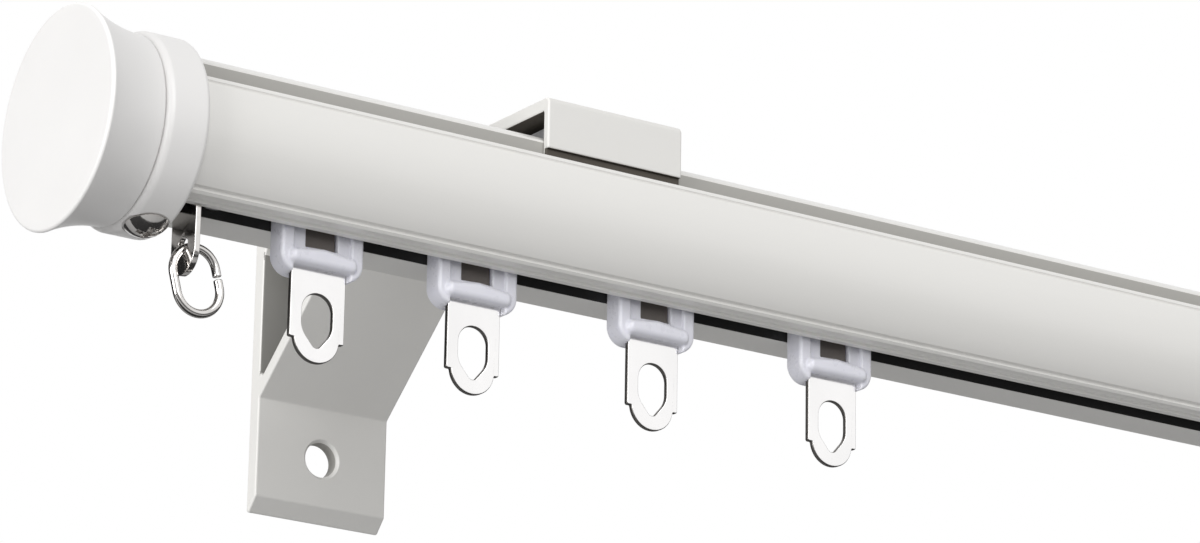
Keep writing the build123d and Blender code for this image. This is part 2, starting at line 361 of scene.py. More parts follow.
def signed_area(line: Array) -> float:
    """Area inside a closed line, positive if it runs anticlockwise.

    Args:
        line: The line's points.

    Returns:
        The area.
    """
    after = np.roll(line, -1, axis=0)
    return float((line[:, 0] * after[:, 1] - line[:, 1] * after[:, 0]).sum() / 2)


def inset(line: Array, distance: float) -> Array:
    """Moves a closed line to its left, along the mitre of both sides' normals at each point.

    Args:
        line: The line's points.
        distance: How far it moves.

    Returns:
        The moved points.
    """
    along = np.roll(line, -1, axis=0) - line
    along /= np.linalg.norm(along, axis=1, keepdims=True)
    after = np.stack([-along[:, 1], along[:, 0]], axis=1)
    before = np.roll(after, 1, axis=0)
    total = before + after
    return line + distance * total / (1 + (before * after).sum(1, keepdims=True))


def plate(
    outer: Array,
    holes: Sequence[Array],
    span: Point2,
    edge: float,
    plane: Plane,
    steps: int = 4,
) -> MeshData:
    """A flat outline with holes, drawn out along its thickness, with all its edges rounded.

    The wall's rings run from one face to the other. Within an edge's width of a face, at the angle
    t of the rounding, a ring stands edge * (1 - cos t) in from the face and edge * (1 - sin t) in
    from the wall.

    Args:
        outer: The outline.
        holes: The holes' outlines.
        span: Where the thickness begins and ends.
        edge: The edges' radius.
        plane: The plane of the outline.
        steps: Pieces that a rounding is drawn with.

    Returns:
        The closed solid.
    """
    loops = [outer if signed_area(outer) > 0 else outer[::-1]]
    loops += [h if signed_area(h) < 0 else h[::-1] for h in holes]
    turn = np.linspace(0, math.pi / 2, steps + 1)
    rise, back = edge * (1 - np.cos(turn)), edge * (1 - np.sin(turn))
    height = np.concatenate([span[0] + rise, span[1] - rise[::-1]])
    depth = np.concatenate([back, back[::-1]])
    u, v, t = plane.value
    walls, low, high = [], [], []
    for line in loops:
        rings = np.zeros((len(height), len(line), 3))
        for ring, at, by in zip(rings, height, depth):
            ring[:, (u, v)] = inset(line, by)
            ring[:, t] = at
        walls.append(grid(rings, round_columns=True))
        low.append(rings[0])
        high.append(rings[-1])
    flat = [np.stack([ring[:, u], ring[:, v], 0 * ring[:, t]], axis=1).tolist() for ring in low]
    triangles = np.array(tessellate_polygon(flat), np.int64)
    ends = np.concatenate(low), np.concatenate(high)
    a, b, c = (ends[1][triangles[:, k]][:, (u, v)] for k in range(3))
    cross = (b - a)[:, 0] * (c - a)[:, 1] - (b - a)[:, 1] * (c - a)[:, 0]
    triangles[cross < 0] = triangles[cross < 0][:, ::-1]
    caps = [MeshData.of_faces(ends[0], triangles[:, ::-1]), MeshData.of_faces(ends[1], triangles)]
    wall = MeshData.joined(walls)
    if plane is Plane.FACING_ROOM:
        caps = [cap.turned_over() for cap in caps]
    else:
        wall = wall.turned_over()
    return welded(MeshData.joined([wall, *caps]))


def welded(mesh: MeshData, pitch: float = 1e-4) -> MeshData:
    """Joins points that lie together, found by rounding their places to a fine grid.

    Args:
        mesh: The mesh.
        pitch: The grid's pitch.

    Returns:
        The mesh with one point for each place.
    """
    keys = np.round(mesh.points / pitch).astype(np.int64)
    _, first, number = np.unique(keys, axis=0, return_index=True, return_inverse=True)
    return replace(mesh, points=mesh.points[first], corners=number.ravel()[mesh.corners])


def revolved(profile: Array, axis: int = 0, count: int = 160) -> MeshData:
    """Turns a profile about an axis through the origin.

    A profile that begins and ends on the axis closes there with a fan at each pole. Any other
    profile is a closed line and gives a ring.

    Args:
        profile: Points as (place along the axis, radius).
        axis: The number of the axis.
        count: Points round the axis.

    Returns:
        The closed surface.
    """
    turn = np.linspace(0, 2 * math.pi, count, endpoint=False)
    others = [(axis + 1) % 3, (axis + 2) % 3]
    poles = profile[0, 1] == 0 and profile[-1, 1] == 0
    inner = profile[1:-1] if poles else profile
    rings = np.zeros((len(inner), count, 3))
    rings[..., axis] = inner[:, :1]
    rings[..., others[0]] = inner[:, 1:] * np.cos(turn)
    rings[..., others[1]] = inner[:, 1:] * np.sin(turn)
    if not poles:
        return grid(rings, round_rows=True, round_columns=True).outward()
    ends = np.zeros((2, 3))
    ends[:, axis] = profile[[0, -1], 0]
    return closed_tube(rings, ends)


def swept(path: Array, radius: float, count: int = 40, tip: float = 0.25) -> MeshData:
    """A round wire along an open path that lies in a plane of constant Y.

    Round each path point runs a circle in the plane of Y and the path's own normal. Near both ends
    the circle draws in over the length tip, as a quarter round, and a fan closes it.

    Args:
        path: The path's points.
        radius: The wire's radius.
        count: Points round the wire.
        tip: The radius of the rounding at the ends.

    Returns:
        The closed wire.
    """
    along = np.gradient(path, axis=0)
    along /= np.linalg.norm(along, axis=1, keepdims=True)
    across = np.cross(along, (0, 1, 0))
    length = np.concatenate([[0], np.cumsum(np.linalg.norm(np.diff(path, axis=0), axis=1))])
    from_end = np.minimum(length, length[-1] - length)
    lack = np.clip(1 - from_end / tip, 0, 1)
    thick = radius - tip * (1 - np.sqrt(1 - lack**2))
    turn = np.linspace(0, 2 * math.pi, count, endpoint=False)[None, :, None]
    spoke = across[:, None] * np.cos(turn) + np.array((0, 1, 0)) * np.sin(turn)
    return closed_tube(path[:, None] + thick[:, None, None] * spoke, path[[0, -1]])


# Solids given by a distance


def soft_join(a: Array, b: Array, soft: float) -> Array:
    """Distance to two solids together, with a fillet where they meet.

    Where the distances a and b differ by less than soft, the lesser is lowered by soft * h * (1 -
    h), with h running from 0 to 1 across that band.

    Args:
        a: Distance to the first solid.
        b: Distance to the second.
        soft: The fillet's width.

    Returns:
        The distance to both.
    """
    h = np.clip(0.5 + 0.5 * (b - a) / soft, 0, 1)
    return a * h + b * (1 - h) - soft * h * (1 - h)


def soft_cut(a: Array, b: Array, soft: float) -> Array:
    """Distance to a solid that a second one was cut out of, with the cut's edges rounded.

    Args:
        a: Distance to the solid.
        b: Distance to what is cut out.
        soft: The rounding's width.

    Returns:
        The distance to what stays.
    """
    return -soft_join(-a, b, soft)


@dataclass(frozen=True)
class Room:
    """A box of sample points at an even pitch, in which solids are given by their distance.

    Attributes:
        low: Lowest corner.
        high: Highest corner.
        pitch: Distance between samples.
    """

    low: Point3
    high: Point3
    pitch: float

    def axes(self) -> tuple[Array, Array, Array]:
        """Places of the samples.

        Returns:
            The X, Y and Z of the samples, shaped so that they broadcast to the whole box.
        """
        lines = [np.arange(a, b, self.pitch) for a, b in zip(self.low, self.high)]
        return tuple(np.meshgrid(*lines, indexing="ij", sparse=True))

    def block(self, low: Sequence[float], high: Sequence[float], edge: float) -> Array:
        """Distance to a box with rounded edges.

        With q the distance past the box drawn in by the edge's radius on each axis, it is the
        length of the positive parts of q, or the greatest q inside, less the radius.

        Args:
            low: Lowest corner.
            high: Highest corner.
            edge: The edges' radius.

        Returns:
            The distance at each sample.
        """
        past = [
            np.abs(line - (a + b) / 2) - ((b - a) / 2 - edge)
            for line, a, b in zip(self.axes(), low, high)
        ]
        x, y, z = np.broadcast_arrays(*past)
        outside = np.sqrt(np.maximum(x, 0) ** 2 + np.maximum(y, 0) ** 2 + np.maximum(z, 0) ** 2)
        return outside + np.minimum(np.maximum(np.maximum(x, y), z), 0) - edge

    def surface(self, distance: Array) -> MeshData:
        """Mesh of the places where the distance is nothing.

        Args:
            distance: The distance at each sample.

        Returns:
            The closed surface.
        """
        volume = openvdb.FloatGrid(background=3 * self.pitch)
        volume.copyFromArray(np.clip(distance, -3 * self.pitch, 3 * self.pitch).astype(np.float32))
        points, quads = volume.convertToQuads(isovalue=0.0)
        return MeshData.of_faces(points * self.pitch + np.array(self.low), quads).outward()


@dataclass(frozen=True)
class Pocket:
    """A box cut out of a moulding.

    Attributes:
        low: Lowest corner.
        high: Highest corner.
        edge: Radius of the box's own edges.
        soft: Width of the rounding where it breaks the surface.
    """

    low: Point3
    high: Point3
    edge: float
    soft: float

    def cut_from(self, solid: Array, room: Room) -> Array:
        """Cuts the box out of a solid.

        Args:
            solid: The distance to the solid.
            room: The room it is sampled in.

        Returns:
            The distance to what stays.
        """
        return soft_cut(solid, room.block(self.low, self.high, self.edge), self.soft)


# Finishes


def add_node(
    tree: bpy.types.NodeTree, kind: str, operation: str = "", **inputs: object
) -> bpy.types.Node:
    """Adds a node and sets its unlinked inputs.

    Args:
        tree: The tree it goes into.
        kind: The node's type, without the word ShaderNode.
        operation: What a mathematical node does.
        inputs: Values by input name, with _ for a space.

    Returns:
        The node.
    """
    node = tree.nodes.new("ShaderNode" + kind)
    if operation:
        node.operation = operation
    for name, value in inputs.items():
        node.inputs[name.replace("_", " ")].default_value = value
    return node


def wire(tree: bpy.types.NodeTree, *links: Link) -> None:
    """Links nodes.

    Args:
        tree: Their tree.
        links: For each, the node and the output it leaves, and the node and the input it enters.
    """
    for source, output, target, entry in links:
        tree.links.new(source.outputs[output], target.inputs[entry])


@dataclass(frozen=True)
class Detail:
    """What a finish shows up close, as a shared node group.

    Attributes:
        name: The group's name.
        fine: Grains per metre along each axis. A low number draws them out into lines.
        broad: Clouds per metre along each axis.
        colour_spread: Share by which the clouds lighten and darken the colour.
        roughness_spread: How far the grains and clouds move the roughness.
    """

    name: str
    fine: Point3
    broad: Point3
    colour_spread: float
    roughness_spread: float

    def group(self) -> bpy.types.NodeTree:
        """Makes the node group, or finds it if it is there.

        The middle range of the clouds, and that of clouds and grains together, is spread over the
        given shares.

        Returns:
            A group from Colour and Roughness to Base Color, Roughness and Height.
        """
        found = bpy.data.node_groups.get(self.name)
        if found:
            return found
        tree = bpy.data.node_groups.new(self.name, "ShaderNodeTree")
        sockets = (
            ("Colour", "INPUT", "Color"),
            ("Roughness", "INPUT", "Float"),
            ("Base Color", "OUTPUT", "Color"),
            ("Roughness", "OUTPUT", "Float"),
            ("Height", "OUTPUT", "Float"),
        )
        for name, way, kind in sockets:
            tree.interface.new_socket(name, in_out=way, socket_type="NodeSocket" + kind)
        given = tree.nodes.new("NodeGroupInput")
        result = tree.nodes.new("NodeGroupOutput")
        place = add_node(tree, "TexCoord")
        grain = self._noise(tree, place, self.fine, 2.0)
        cloud = self._noise(tree, place, self.broad, 4.0)
        shade = add_node(
            tree,
            "MapRange",
            From_Min=0.3,
            From_Max=0.7,
            To_Min=1 - self.colour_spread,
            To_Max=1 + self.colour_spread / 2,
        )
        tint = add_node(tree, "VectorMath", "SCALE")
        both = add_node(tree, "Math", "ADD")
        spread = add_node(
            tree,
            "MapRange",
            From_Min=0.7,
            From_Max=1.3,
            To_Min=-self.roughness_spread,
            To_Max=self.roughness_spread,
        )
        rough = add_node(tree, "Math", "ADD")
        wire(
            tree,
            (cloud, "Fac", shade, "Value"),
            (given, "Colour", tint, 0),
            (shade, "Result", tint, "Scale"),
            (grain, "Fac", both, 0),
            (cloud, "Fac", both, 1),
            (both, 0, spread, "Value"),
            (given, "Roughness", rough, 0),
            (spread, "Result", rough, 1),
            (tint, "Vector", result, "Base Color"),
            (rough, 0, result, "Roughness"),
            (grain, "Fac", result, "Height"),
        )
        return tree

    @staticmethod
    def _noise(
        tree: bpy.types.NodeTree,
        place: bpy.types.Node,
        scale: Point3,
        octaves: float,
    ) -> bpy.types.Node:
        """Adds a noise that is stretched along the axes.

        Args:
            tree: The group's tree.
            place: The node with the object's coordinates.
            scale: Features per metre along each axis.
            octaves: Levels of detail.

        Returns:
            The noise node.
        """
        stretch = add_node(tree, "Mapping", Scale=scale)
        noise = add_node(tree, "TexNoise", Scale=1.0, Detail=octaves, Roughness=0.55)
        wire(tree, (place, "Object", stretch, "Vector"), (stretch, "Vector", noise, "Vector"))
        return noise


@dataclass(frozen=True)
class Finish:
    """A surface finish: the shader's own constants and the detail laid over them.

    Attributes:
        slot: The part's material slot that it stands for.
        colour: Base colour.
        roughness: Roughness before the detail moves it.
        detail: The detail group.
        relief: Height of the detail's grain in metres.
        metallic: Share of metal.
        settings: Other inputs of the shader by name.
        name: The material's name, if it isn't the slot's.
    """

    slot: str
    colour: Point3
    roughness: float
    detail: Detail
    relief: float
    metallic: float = 0.0
    settings: dict[str, float | tuple[float, ...]] = field(default_factory=dict)
    name: str = ""

    def material(self) -> bpy.types.Material:
        """Makes the material, or finds it if it is there.

        Returns:
            The material.
        """
        name = "finish_" + (self.name or self.slot)
        found = bpy.data.materials.get(name)
        if found:
            return found
        material = bpy.data.materials.new(name)
        material.use_nodes = True
        tree = material.node_tree
        shader = tree.nodes["Principled BSDF"]
        colour = (*self.colour, 1.0)
        shader.inputs["Base Color"].default_value = colour
        shader.inputs["Roughness"].default_value = self.roughness
        shader.inputs["Metallic"].default_value = self.metallic
        for name, value in self.settings.items():
            shader.inputs[name].default_value = value
        detail = tree.nodes.new("ShaderNodeGroup")
        detail.node_tree = self.detail.group()
        detail.inputs["Colour"].default_value = colour
        detail.inputs["Roughness"].default_value = self.roughness
        bump = add_node(tree, "Bump", Strength=1.0, Distance=self.relief)
        wire(
            tree,
            (detail, "Base Color", shader, "Base Color"),
            (detail, "Roughness", shader, "Roughness"),
            (detail, "Height", bump, "Height"),
            (bump, "Normal", shader, "Normal"),
        )
        return material


ORANGE_PEEL = Detail("orange_peel", (1100, 1100, 1100), (18, 40, 40), 0.02, 0.04)
DRAWN_PEEL = Detail("drawn_peel", (60, 1300, 1300), (5, 60, 60), 0.02, 0.05)
MOULDED = Detail("moulded", (900, 900, 900), (160, 160, 160), 0.04, 0.06)
BRUSHED = Detail("brushed", (5000, 900, 260), (90, 90, 60), 0.04, 0.06)
PLATED = Detail("plated", (1600, 1600, 1600), (260, 260, 260), 0.10, 0.05)


class Finishes:
    """The part's finishes: one for each material slot, and darker ones for faces in shade."""

    rod = Finish("powder_coat", (0.80, 0.79, 0.765), 0.34, DRAWN_PEEL, 6e-6)
    # Painted deep shade: a near-black colour for the inside of the rod's channel and slot, where
    # shade falls.
    painted_deep_shade = Finish("powder_coat", (0.03, 0.03, 0.03), 0.5, DRAWN_PEEL, 6e-6, name="painted_shade_channel")
    shaded = Finish("powder_coat", (0.42, 0.41, 0.385), 0.5, DRAWN_PEEL, 6e-6, name="shaded_gutter")
    # Painted shadow: a near-black colour under the bracket's claw and arm.
    recess = Finish(
        "bracket_coat", (0.060, 0.050, 0.038), 0.6, ORANGE_PEEL, 1.2e-5, name="painted_shadow_recess"
    )
    # Painted shade on the wall plate's face inside the bracket's window.
    inside = Finish(
        "bracket_coat", (0.27, 0.265, 0.25), 0.5, ORANGE_PEEL, 1.2e-5, name="shaded_window"
    )
    finial = Finish("finial_coat", (0.82, 0.81, 0.80), 0.36, ORANGE_PEEL, 8e-6)
    bracket = Finish("bracket_coat", (0.77, 0.76, 0.735), 0.42, ORANGE_PEEL, 1.2e-5)
    nylon = Finish(
        "nylon",
        (0.74, 0.74, 0.80),
        0.30,
        MOULDED,
        1.2e-5,
        settings={
            "Subsurface Weight": 0.35,
            "Subsurface Radius": (1.0, 1.0, 1.1),
            "Subsurface Scale": 0.0012,
        },
    )
    steel = Finish("polished_steel", (0.94, 0.93, 0.925), 0.16, BRUSHED, 1.5e-6, 1.0)
    # Painted shade: a dark non-metal colour for the eye plate's stem, standing in for the shade and
    # dark reflection inside the glider's window.
    painted_stem_shade = Finish("polished_steel", (0.12, 0.105, 0.095), 0.5, BRUSHED, 1.5e-6, name="painted_shade_stem")
    # Painted shade: dark metal on the eye plate's edges and eye wall, standing in for the shade
    # along their thin faces.
    painted_edge_shade = Finish(
        "polished_steel", (0.22, 0.21, 0.20), 0.4, BRUSHED, 1.5e-6, 1.0, name="painted_shade_edge"
    )
    nickel = Finish("nickel", (0.74, 0.72, 0.70), 0.12, PLATED, 4e-6, 1.0)
    zinc = Finish("plated_steel", (0.72, 0.72, 0.73), 0.48, PLATED, 6e-6, 1.0)


# Placing pieces


def linked(name: str, data: bpy.types.ID) -> bpy.types.Object:
    """Adds an object to the scene.

    Args:
        name: The object's name.
        data: Its mesh, light or camera.

    Returns:
        The object.
    """
    thing = bpy.data.objects.new(name, data)
    bpy.context.scene.collection.objects.link(thing)
    return thing


def sheet(name: str, corners: Array) -> bpy.types.Object:
    """Adds a flat sheet to the scene.

    Args:
        name: The object's name.
        corners: Its four corners.

    Returns:
        The object.
    """
    data = bpy.data.meshes.new(name)
    data.from_pydata(corners.tolist(), [], [(0, 1, 2, 3)])
    return linked(name, data)


@dataclass(frozen=True)
class RodFrame:
    """The rod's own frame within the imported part's frame.

    Attributes:
        origin: The middle of the rod's axis, in the part's frame and in millimetres.
    """

    origin: Point3

    @staticmethod
    def read(radius: float) -> RodFrame:
        """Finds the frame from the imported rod, whose top touches the full radius.

        Args:
            radius: The rod's radius.

        Returns:
            The frame.
        """
        low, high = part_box("rod")
        middle = (low + high) / 2
        return RodFrame((middle.x / MM, middle.y / MM, high.z / MM - radius))

    def span_of(self, node: str, axis: int) -> Point2:
        """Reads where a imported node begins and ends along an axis.

        Args:
            node: The node's name.
            axis: The axis's number.

        Returns:
            Both ends, in millimetres in the rod's frame.
        """
        low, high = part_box(node)
        return low[axis] / MM - self.origin[axis], high[axis] / MM - self.origin[axis]

    def to_part(self, mesh: MeshData) -> MeshData:
        """Moves a mesh into the part's frame.

        Args:
            mesh: A mesh in millimetres in the rod's frame.

        Returns:
            The mesh in metres in the part's frame.
        """
        return replace(mesh, points=(mesh.points + np.array(self.origin)) * MM)


@dataclass(frozen=True)
class Patch:
    """A box in which a piece's faces take a painted shade finish, in millimetres in the rod's
    frame.

    Attributes:
        finish: The finish.
        low: Lowest corner.
        high: Highest corner.
        within: The greatest distance from the rod's axis.
    """

    finish: Finish
    low: Point3
    high: Point3
    within: float = math.inf

    def holds(self, middles: Array) -> Array:
        """Tells which faces it takes.

        Args:
            middles: The faces' middles in the rod's frame.

        Returns:
            True for each face inside.
        """
        inside = ((middles > self.low) & (middles < self.high)).all(axis=1)
        return inside & (np.hypot(middles[:, 1], middles[:, 2]) < self.within)


@dataclass
class Piece:
    """One piece to show.

    Attributes:
        name: The object's name.
        mesh: Its mesh in the rod's frame.
        finish: Its finish.
        body: The part's body that it moves with.
        stands_for: The part's nodes that it is shown in place of.
        cuts: Solids cut out of it.
        patches: Faces with a painted shade finish.
        flat: Whether it has broad flat faces, whose shading is kept flat.
    """

    name: str
    mesh: MeshData
    finish: Finish
    body: str
    stands_for: tuple[str, ...]
    cuts: tuple[MeshData, ...] = ()
    patches: tuple[Patch, ...] = ()
    flat: bool = True


@dataclass(frozen=True)
class Workshop:
    """Turns pieces into objects of the scene.

    Attributes:
        frame: The rod's frame.
    """

    frame: RodFrame

    def show(self, piece: Piece) -> bpy.types.Object:
        """Builds a piece's object and hands it to its body.

        Args:
            piece: The piece.

        Returns:
            The object.
        """
        thing = self._object(piece.name, piece.mesh)
        if piece.cuts:
            self._cut(thing, piece.cuts)
        self._shade(thing, piece.flat)
        thing.data.materials.clear()
        thing.data.materials.append(piece.finish.material())
        self._patch(thing, piece.patches)
        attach(thing, piece.body)
        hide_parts(*piece.stands_for)
        logger.info("%s: %d faces on %s", piece.name, len(thing.data.polygons), piece.body)
        return thing

    def _object(self, name: str, mesh: MeshData) -> bpy.types.Object:
        """Makes an object from a mesh in the rod's frame.

        Args:
            name: The object's name.
            mesh: The mesh.

        Returns:
            The object, linked to the scene.
        """
        placed = self.frame.to_part(mesh)
        data = bpy.data.meshes.new(name)
        data.vertices.add(len(placed.points))
        data.vertices.foreach_set("co", placed.points.astype(np.float32).ravel())
        data.loops.add(len(placed.corners))
        data.loops.foreach_set("vertex_index", placed.corners.astype(np.int32))
        data.polygons.add(len(placed.sizes))
        starts = np.cumsum(placed.sizes) - placed.sizes
        data.polygons.foreach_set("loop_start", starts.astype(np.int32))
        data.update(calc_edges=True)
        data.validate()
        return linked(name, data)

    def _cut(self, thing: bpy.types.Object, cuts: Sequence[MeshData]) -> None:
        """Cuts solids out of an object and keeps the result as its mesh.

        Args:
            thing: The object.
            cuts: The solids, in the rod's frame.
        """
        tools = [self._object(f"{thing.name}_cut_{i}", cut) for i, cut in enumerate(cuts)]
        for tool in tools:
            modifier = thing.modifiers.new("cut", "BOOLEAN")
            modifier.solver = "EXACT"
            modifier.object = tool
        view = bpy.context.evaluated_depsgraph_get()
        data = bpy.data.meshes.new_from_object(thing.evaluated_get(view))
        thing.modifiers.clear()
        thing.data = data
        for tool in tools:
            bpy.data.objects.remove(tool)

    def _patch(self, thing: bpy.types.Object, patches: Sequence[Patch]) -> None:
        """Gives patches of an object's faces their own finish.

        Args:
            thing: The object.
            patches: The patches.
        """
        if not patches:
            return
        middles = np.zeros(3 * len(thing.data.polygons), np.float32)
        thing.data.polygons.foreach_get("center", middles)
        middles = middles.reshape(-1, 3) / MM - self.frame.origin
        index = np.zeros(len(middles), np.int32)
        for patch in patches:
            material = patch.finish.material()
            if material.name not in thing.data.materials:
                thing.data.materials.append(material)
            index[patch.holds(middles)] = thing.data.materials.find(material.name)
        thing.data.polygons.foreach_set("material_index", index)

    @staticmethod
    def _shade(thing: bpy.types.Object, flat: bool) -> None:
        """Smooths an object's shading but for its sharp edges.

        Args:
            thing: The object.
            flat: Whether broad flat faces keep their own shading.
        """
        data = thing.data
        data.polygons.foreach_set("use_smooth", np.ones(len(data.polygons), bool))
        data.set_sharp_from_angle(angle=SHARP_ANGLE)
        data.update()
        if flat:
            weighted = thing.modifiers.new("flat_faces", "WEIGHTED_NORMAL")
            weighted.keep_sharp = True


# Sub-assemblies


@dataclass(frozen=True)
class Rod:
    """The round extrusion with its runner slot, channel and gutter. Sizes in millimetres."""

    radius: float = 14.0
    wall: float = 1.2
    flat_drop: float = 10.8
    slot: Point2 = (-5.0, -0.1)
    lip: float = 1.6
    channel: Point2 = (-7.8, 3.2)
    channel_top: float = -2.2
    ridge: Point2 = (1.5, 0.5)
    gutter_back: float = -8.3
    gutter_floor: float = 5.0
    bead_height: float = 7.1
    bead_radius: float = 0.75
    line_height: float = 6.6
    line_radius: float = 0.5
    line_lift: float = 0.1
    lower_line_height: float = -10.05
    lip_edge: float = 0.12
    ridge_root: float = 0.1
    flat_edge: float = 0.2
    channel_corner: float = 0.3
    gutter_corner: float = 0.15
    gutter_mouth: float = 0.6
    gutter_top: float = 11.0
    end_edge: float = 0.1
    bead_sweep: float = 4.0
    bead_overlap: Point2 = (0.02, 0.05)
    flat_gap: float = 0.03
    gutter_gap: float = 0.03
    back_gap: float = 0.04
    step: float = math.radians(1.5)

    def line(self, turn: float) -> Array:
        """A line pressed into the skin, as a hollow arc about a point just outside the skin.

        Args:
            turn: The line's place on the skin, in radians about the rod's axis.

        Returns:
            Points in Y and Z, without the two on the skin.
        """
        reach = self.radius + self.line_lift
        middle = (reach * math.cos(turn), reach * math.sin(turn))
        spread = math.acos(self.line_lift / self.line_radius)
        start = turn + math.pi - spread
        return arc(middle, self.line_radius, start, start + 2 * spread, step=0.2)[1:-1]

    def outline(self) -> Array:
        """The section's outer line, with the channel and the gutter drawn in from it.

        The skin is a circle broken by the flat underside, the two pressed lines and the bead. Its
        arcs stop short of the corners by the gaps and run into the bead by the overlaps, all in
        radians. Each run of points comes with the radius that its corners are rounded with.

        Returns:
            Points in Y and Z.
        """
        r, lip_top = self.radius, -self.flat_drop + self.lip
        low = -self.flat_drop - self.ridge[1]
        front, back = self.slot
        flat_end = math.sqrt(r**2 - self.flat_drop**2)
        corner = math.asin(self.flat_drop / r)
        heights = (self.line_height, self.lower_line_height)
        upper, lower = (math.pi - math.asin(height / r) for height in heights)
        line_half = math.sqrt(self.line_radius**2 - self.line_lift**2) / r
        bead_reach = r - self.bead_radius
        bead_turn = math.pi - math.asin(self.bead_height / bead_reach)
        bead_at = (bead_reach * math.cos(bead_turn), bead_reach * math.sin(bead_turn))
        inner = r - self.wall
        floor = self.gutter_floor
        floor_turn = math.pi - math.asin(floor / inner)
        back_top = math.sqrt(r**2 - self.gutter_back**2)
        top_turn = math.atan2(back_top, self.gutter_back)
        bead_end = bead_turn - self.bead_sweep
        outside, inside = self.bead_overlap
        gutter_front = inner * math.cos(floor_turn)
        side, root = -self.flat_drop, self.ridge[0]
        channel_front, channel_back = self.channel
        runs: list[tuple[Array | list[Point2], float]] = [
            ([(front, lip_top), (front, low), (front - root, low)], self.lip_edge),
            ([(front - root, side)], self.ridge_root),
            ([(-flat_end, side)], self.flat_edge),
            (arc((0, 0), r, math.pi + corner - self.flat_gap, lower + line_half, self.step), 0),
            (self.line(lower), 0),
            (arc((0, 0), r, lower - line_half, upper + line_half, self.step), 0),
            (self.line(upper), 0),
            (arc((0, 0), r, upper - line_half, bead_turn + outside, self.step), 0),
            (arc(bead_at, self.bead_radius, bead_turn, bead_end, step=0.25), 0),
            (arc((0, 0), inner, bead_turn + inside, floor_turn - self.gutter_gap, self.step), 0),
            ([(gutter_front, floor), (self.gutter_back, floor)], self.gutter_corner),
            ([(self.gutter_back, back_top)], self.gutter_mouth),
            (arc((0, 0), r, top_turn - self.back_gap, self.back_gap - corner, self.step), 0),
            ([(flat_end, side)], self.flat_edge),
            ([(back + root, side)], self.ridge_root),
            ([(back + root, low), (back, low), (back, lip_top)], self.lip_edge),
            ([(channel_back, lip_top), (channel_back, self.channel_top)], self.channel_corner),
            ([(channel_front, self.channel_top), (channel_front, lip_top)], self.channel_corner),
        ]
        points = np.vstack([np.asarray(run, float) for run, _ in runs])
        radii = np.concatenate([np.full(len(run), radius) for run, radius in runs])
        return without_repeats(rounded(points, radii, steps=4), least=0.01)

    def pieces(self, frame: RodFrame) -> list[Piece]:
        """Draws the section out along the rod.

        Args:
            frame: The rod's frame.

        Returns:
            The rod.
        """
        start, end = span = frame.span_of("rod", 0)
        mesh = plate(self.outline(), [], span, self.end_edge, Plane.ACROSS_ROD)
        lip_top, near = self.lip - self.flat_drop, PATCH_REACH
        # The channel and the slot take painted deep shade, a near-black colour, and the gutter
        # takes painted shade, where shade falls inside them.
        channel = Patch(
            Finishes.painted_deep_shade,
            (start, self.channel[0] - near, lip_top - near / 2),
            (end, self.channel[1] + near, self.channel_top + near),
        )
        slot = Patch(
            Finishes.painted_deep_shade,
            (start, self.slot[0] - near, near - self.flat_drop),
            (end, self.slot[1] + near, 0),
        )
        gutter = Patch(
            Finishes.shaded,
            (start, -self.radius, self.gutter_floor - 2 * near),
            (end, self.gutter_back + near / 2, self.gutter_top),
            self.radius - self.wall + near,
        )
        patches = (channel, slot, gutter)
        return [
            Piece("rod_extrusion", mesh, Finishes.rod, "rod_assembly", ("rod",), patches=patches)
        ]


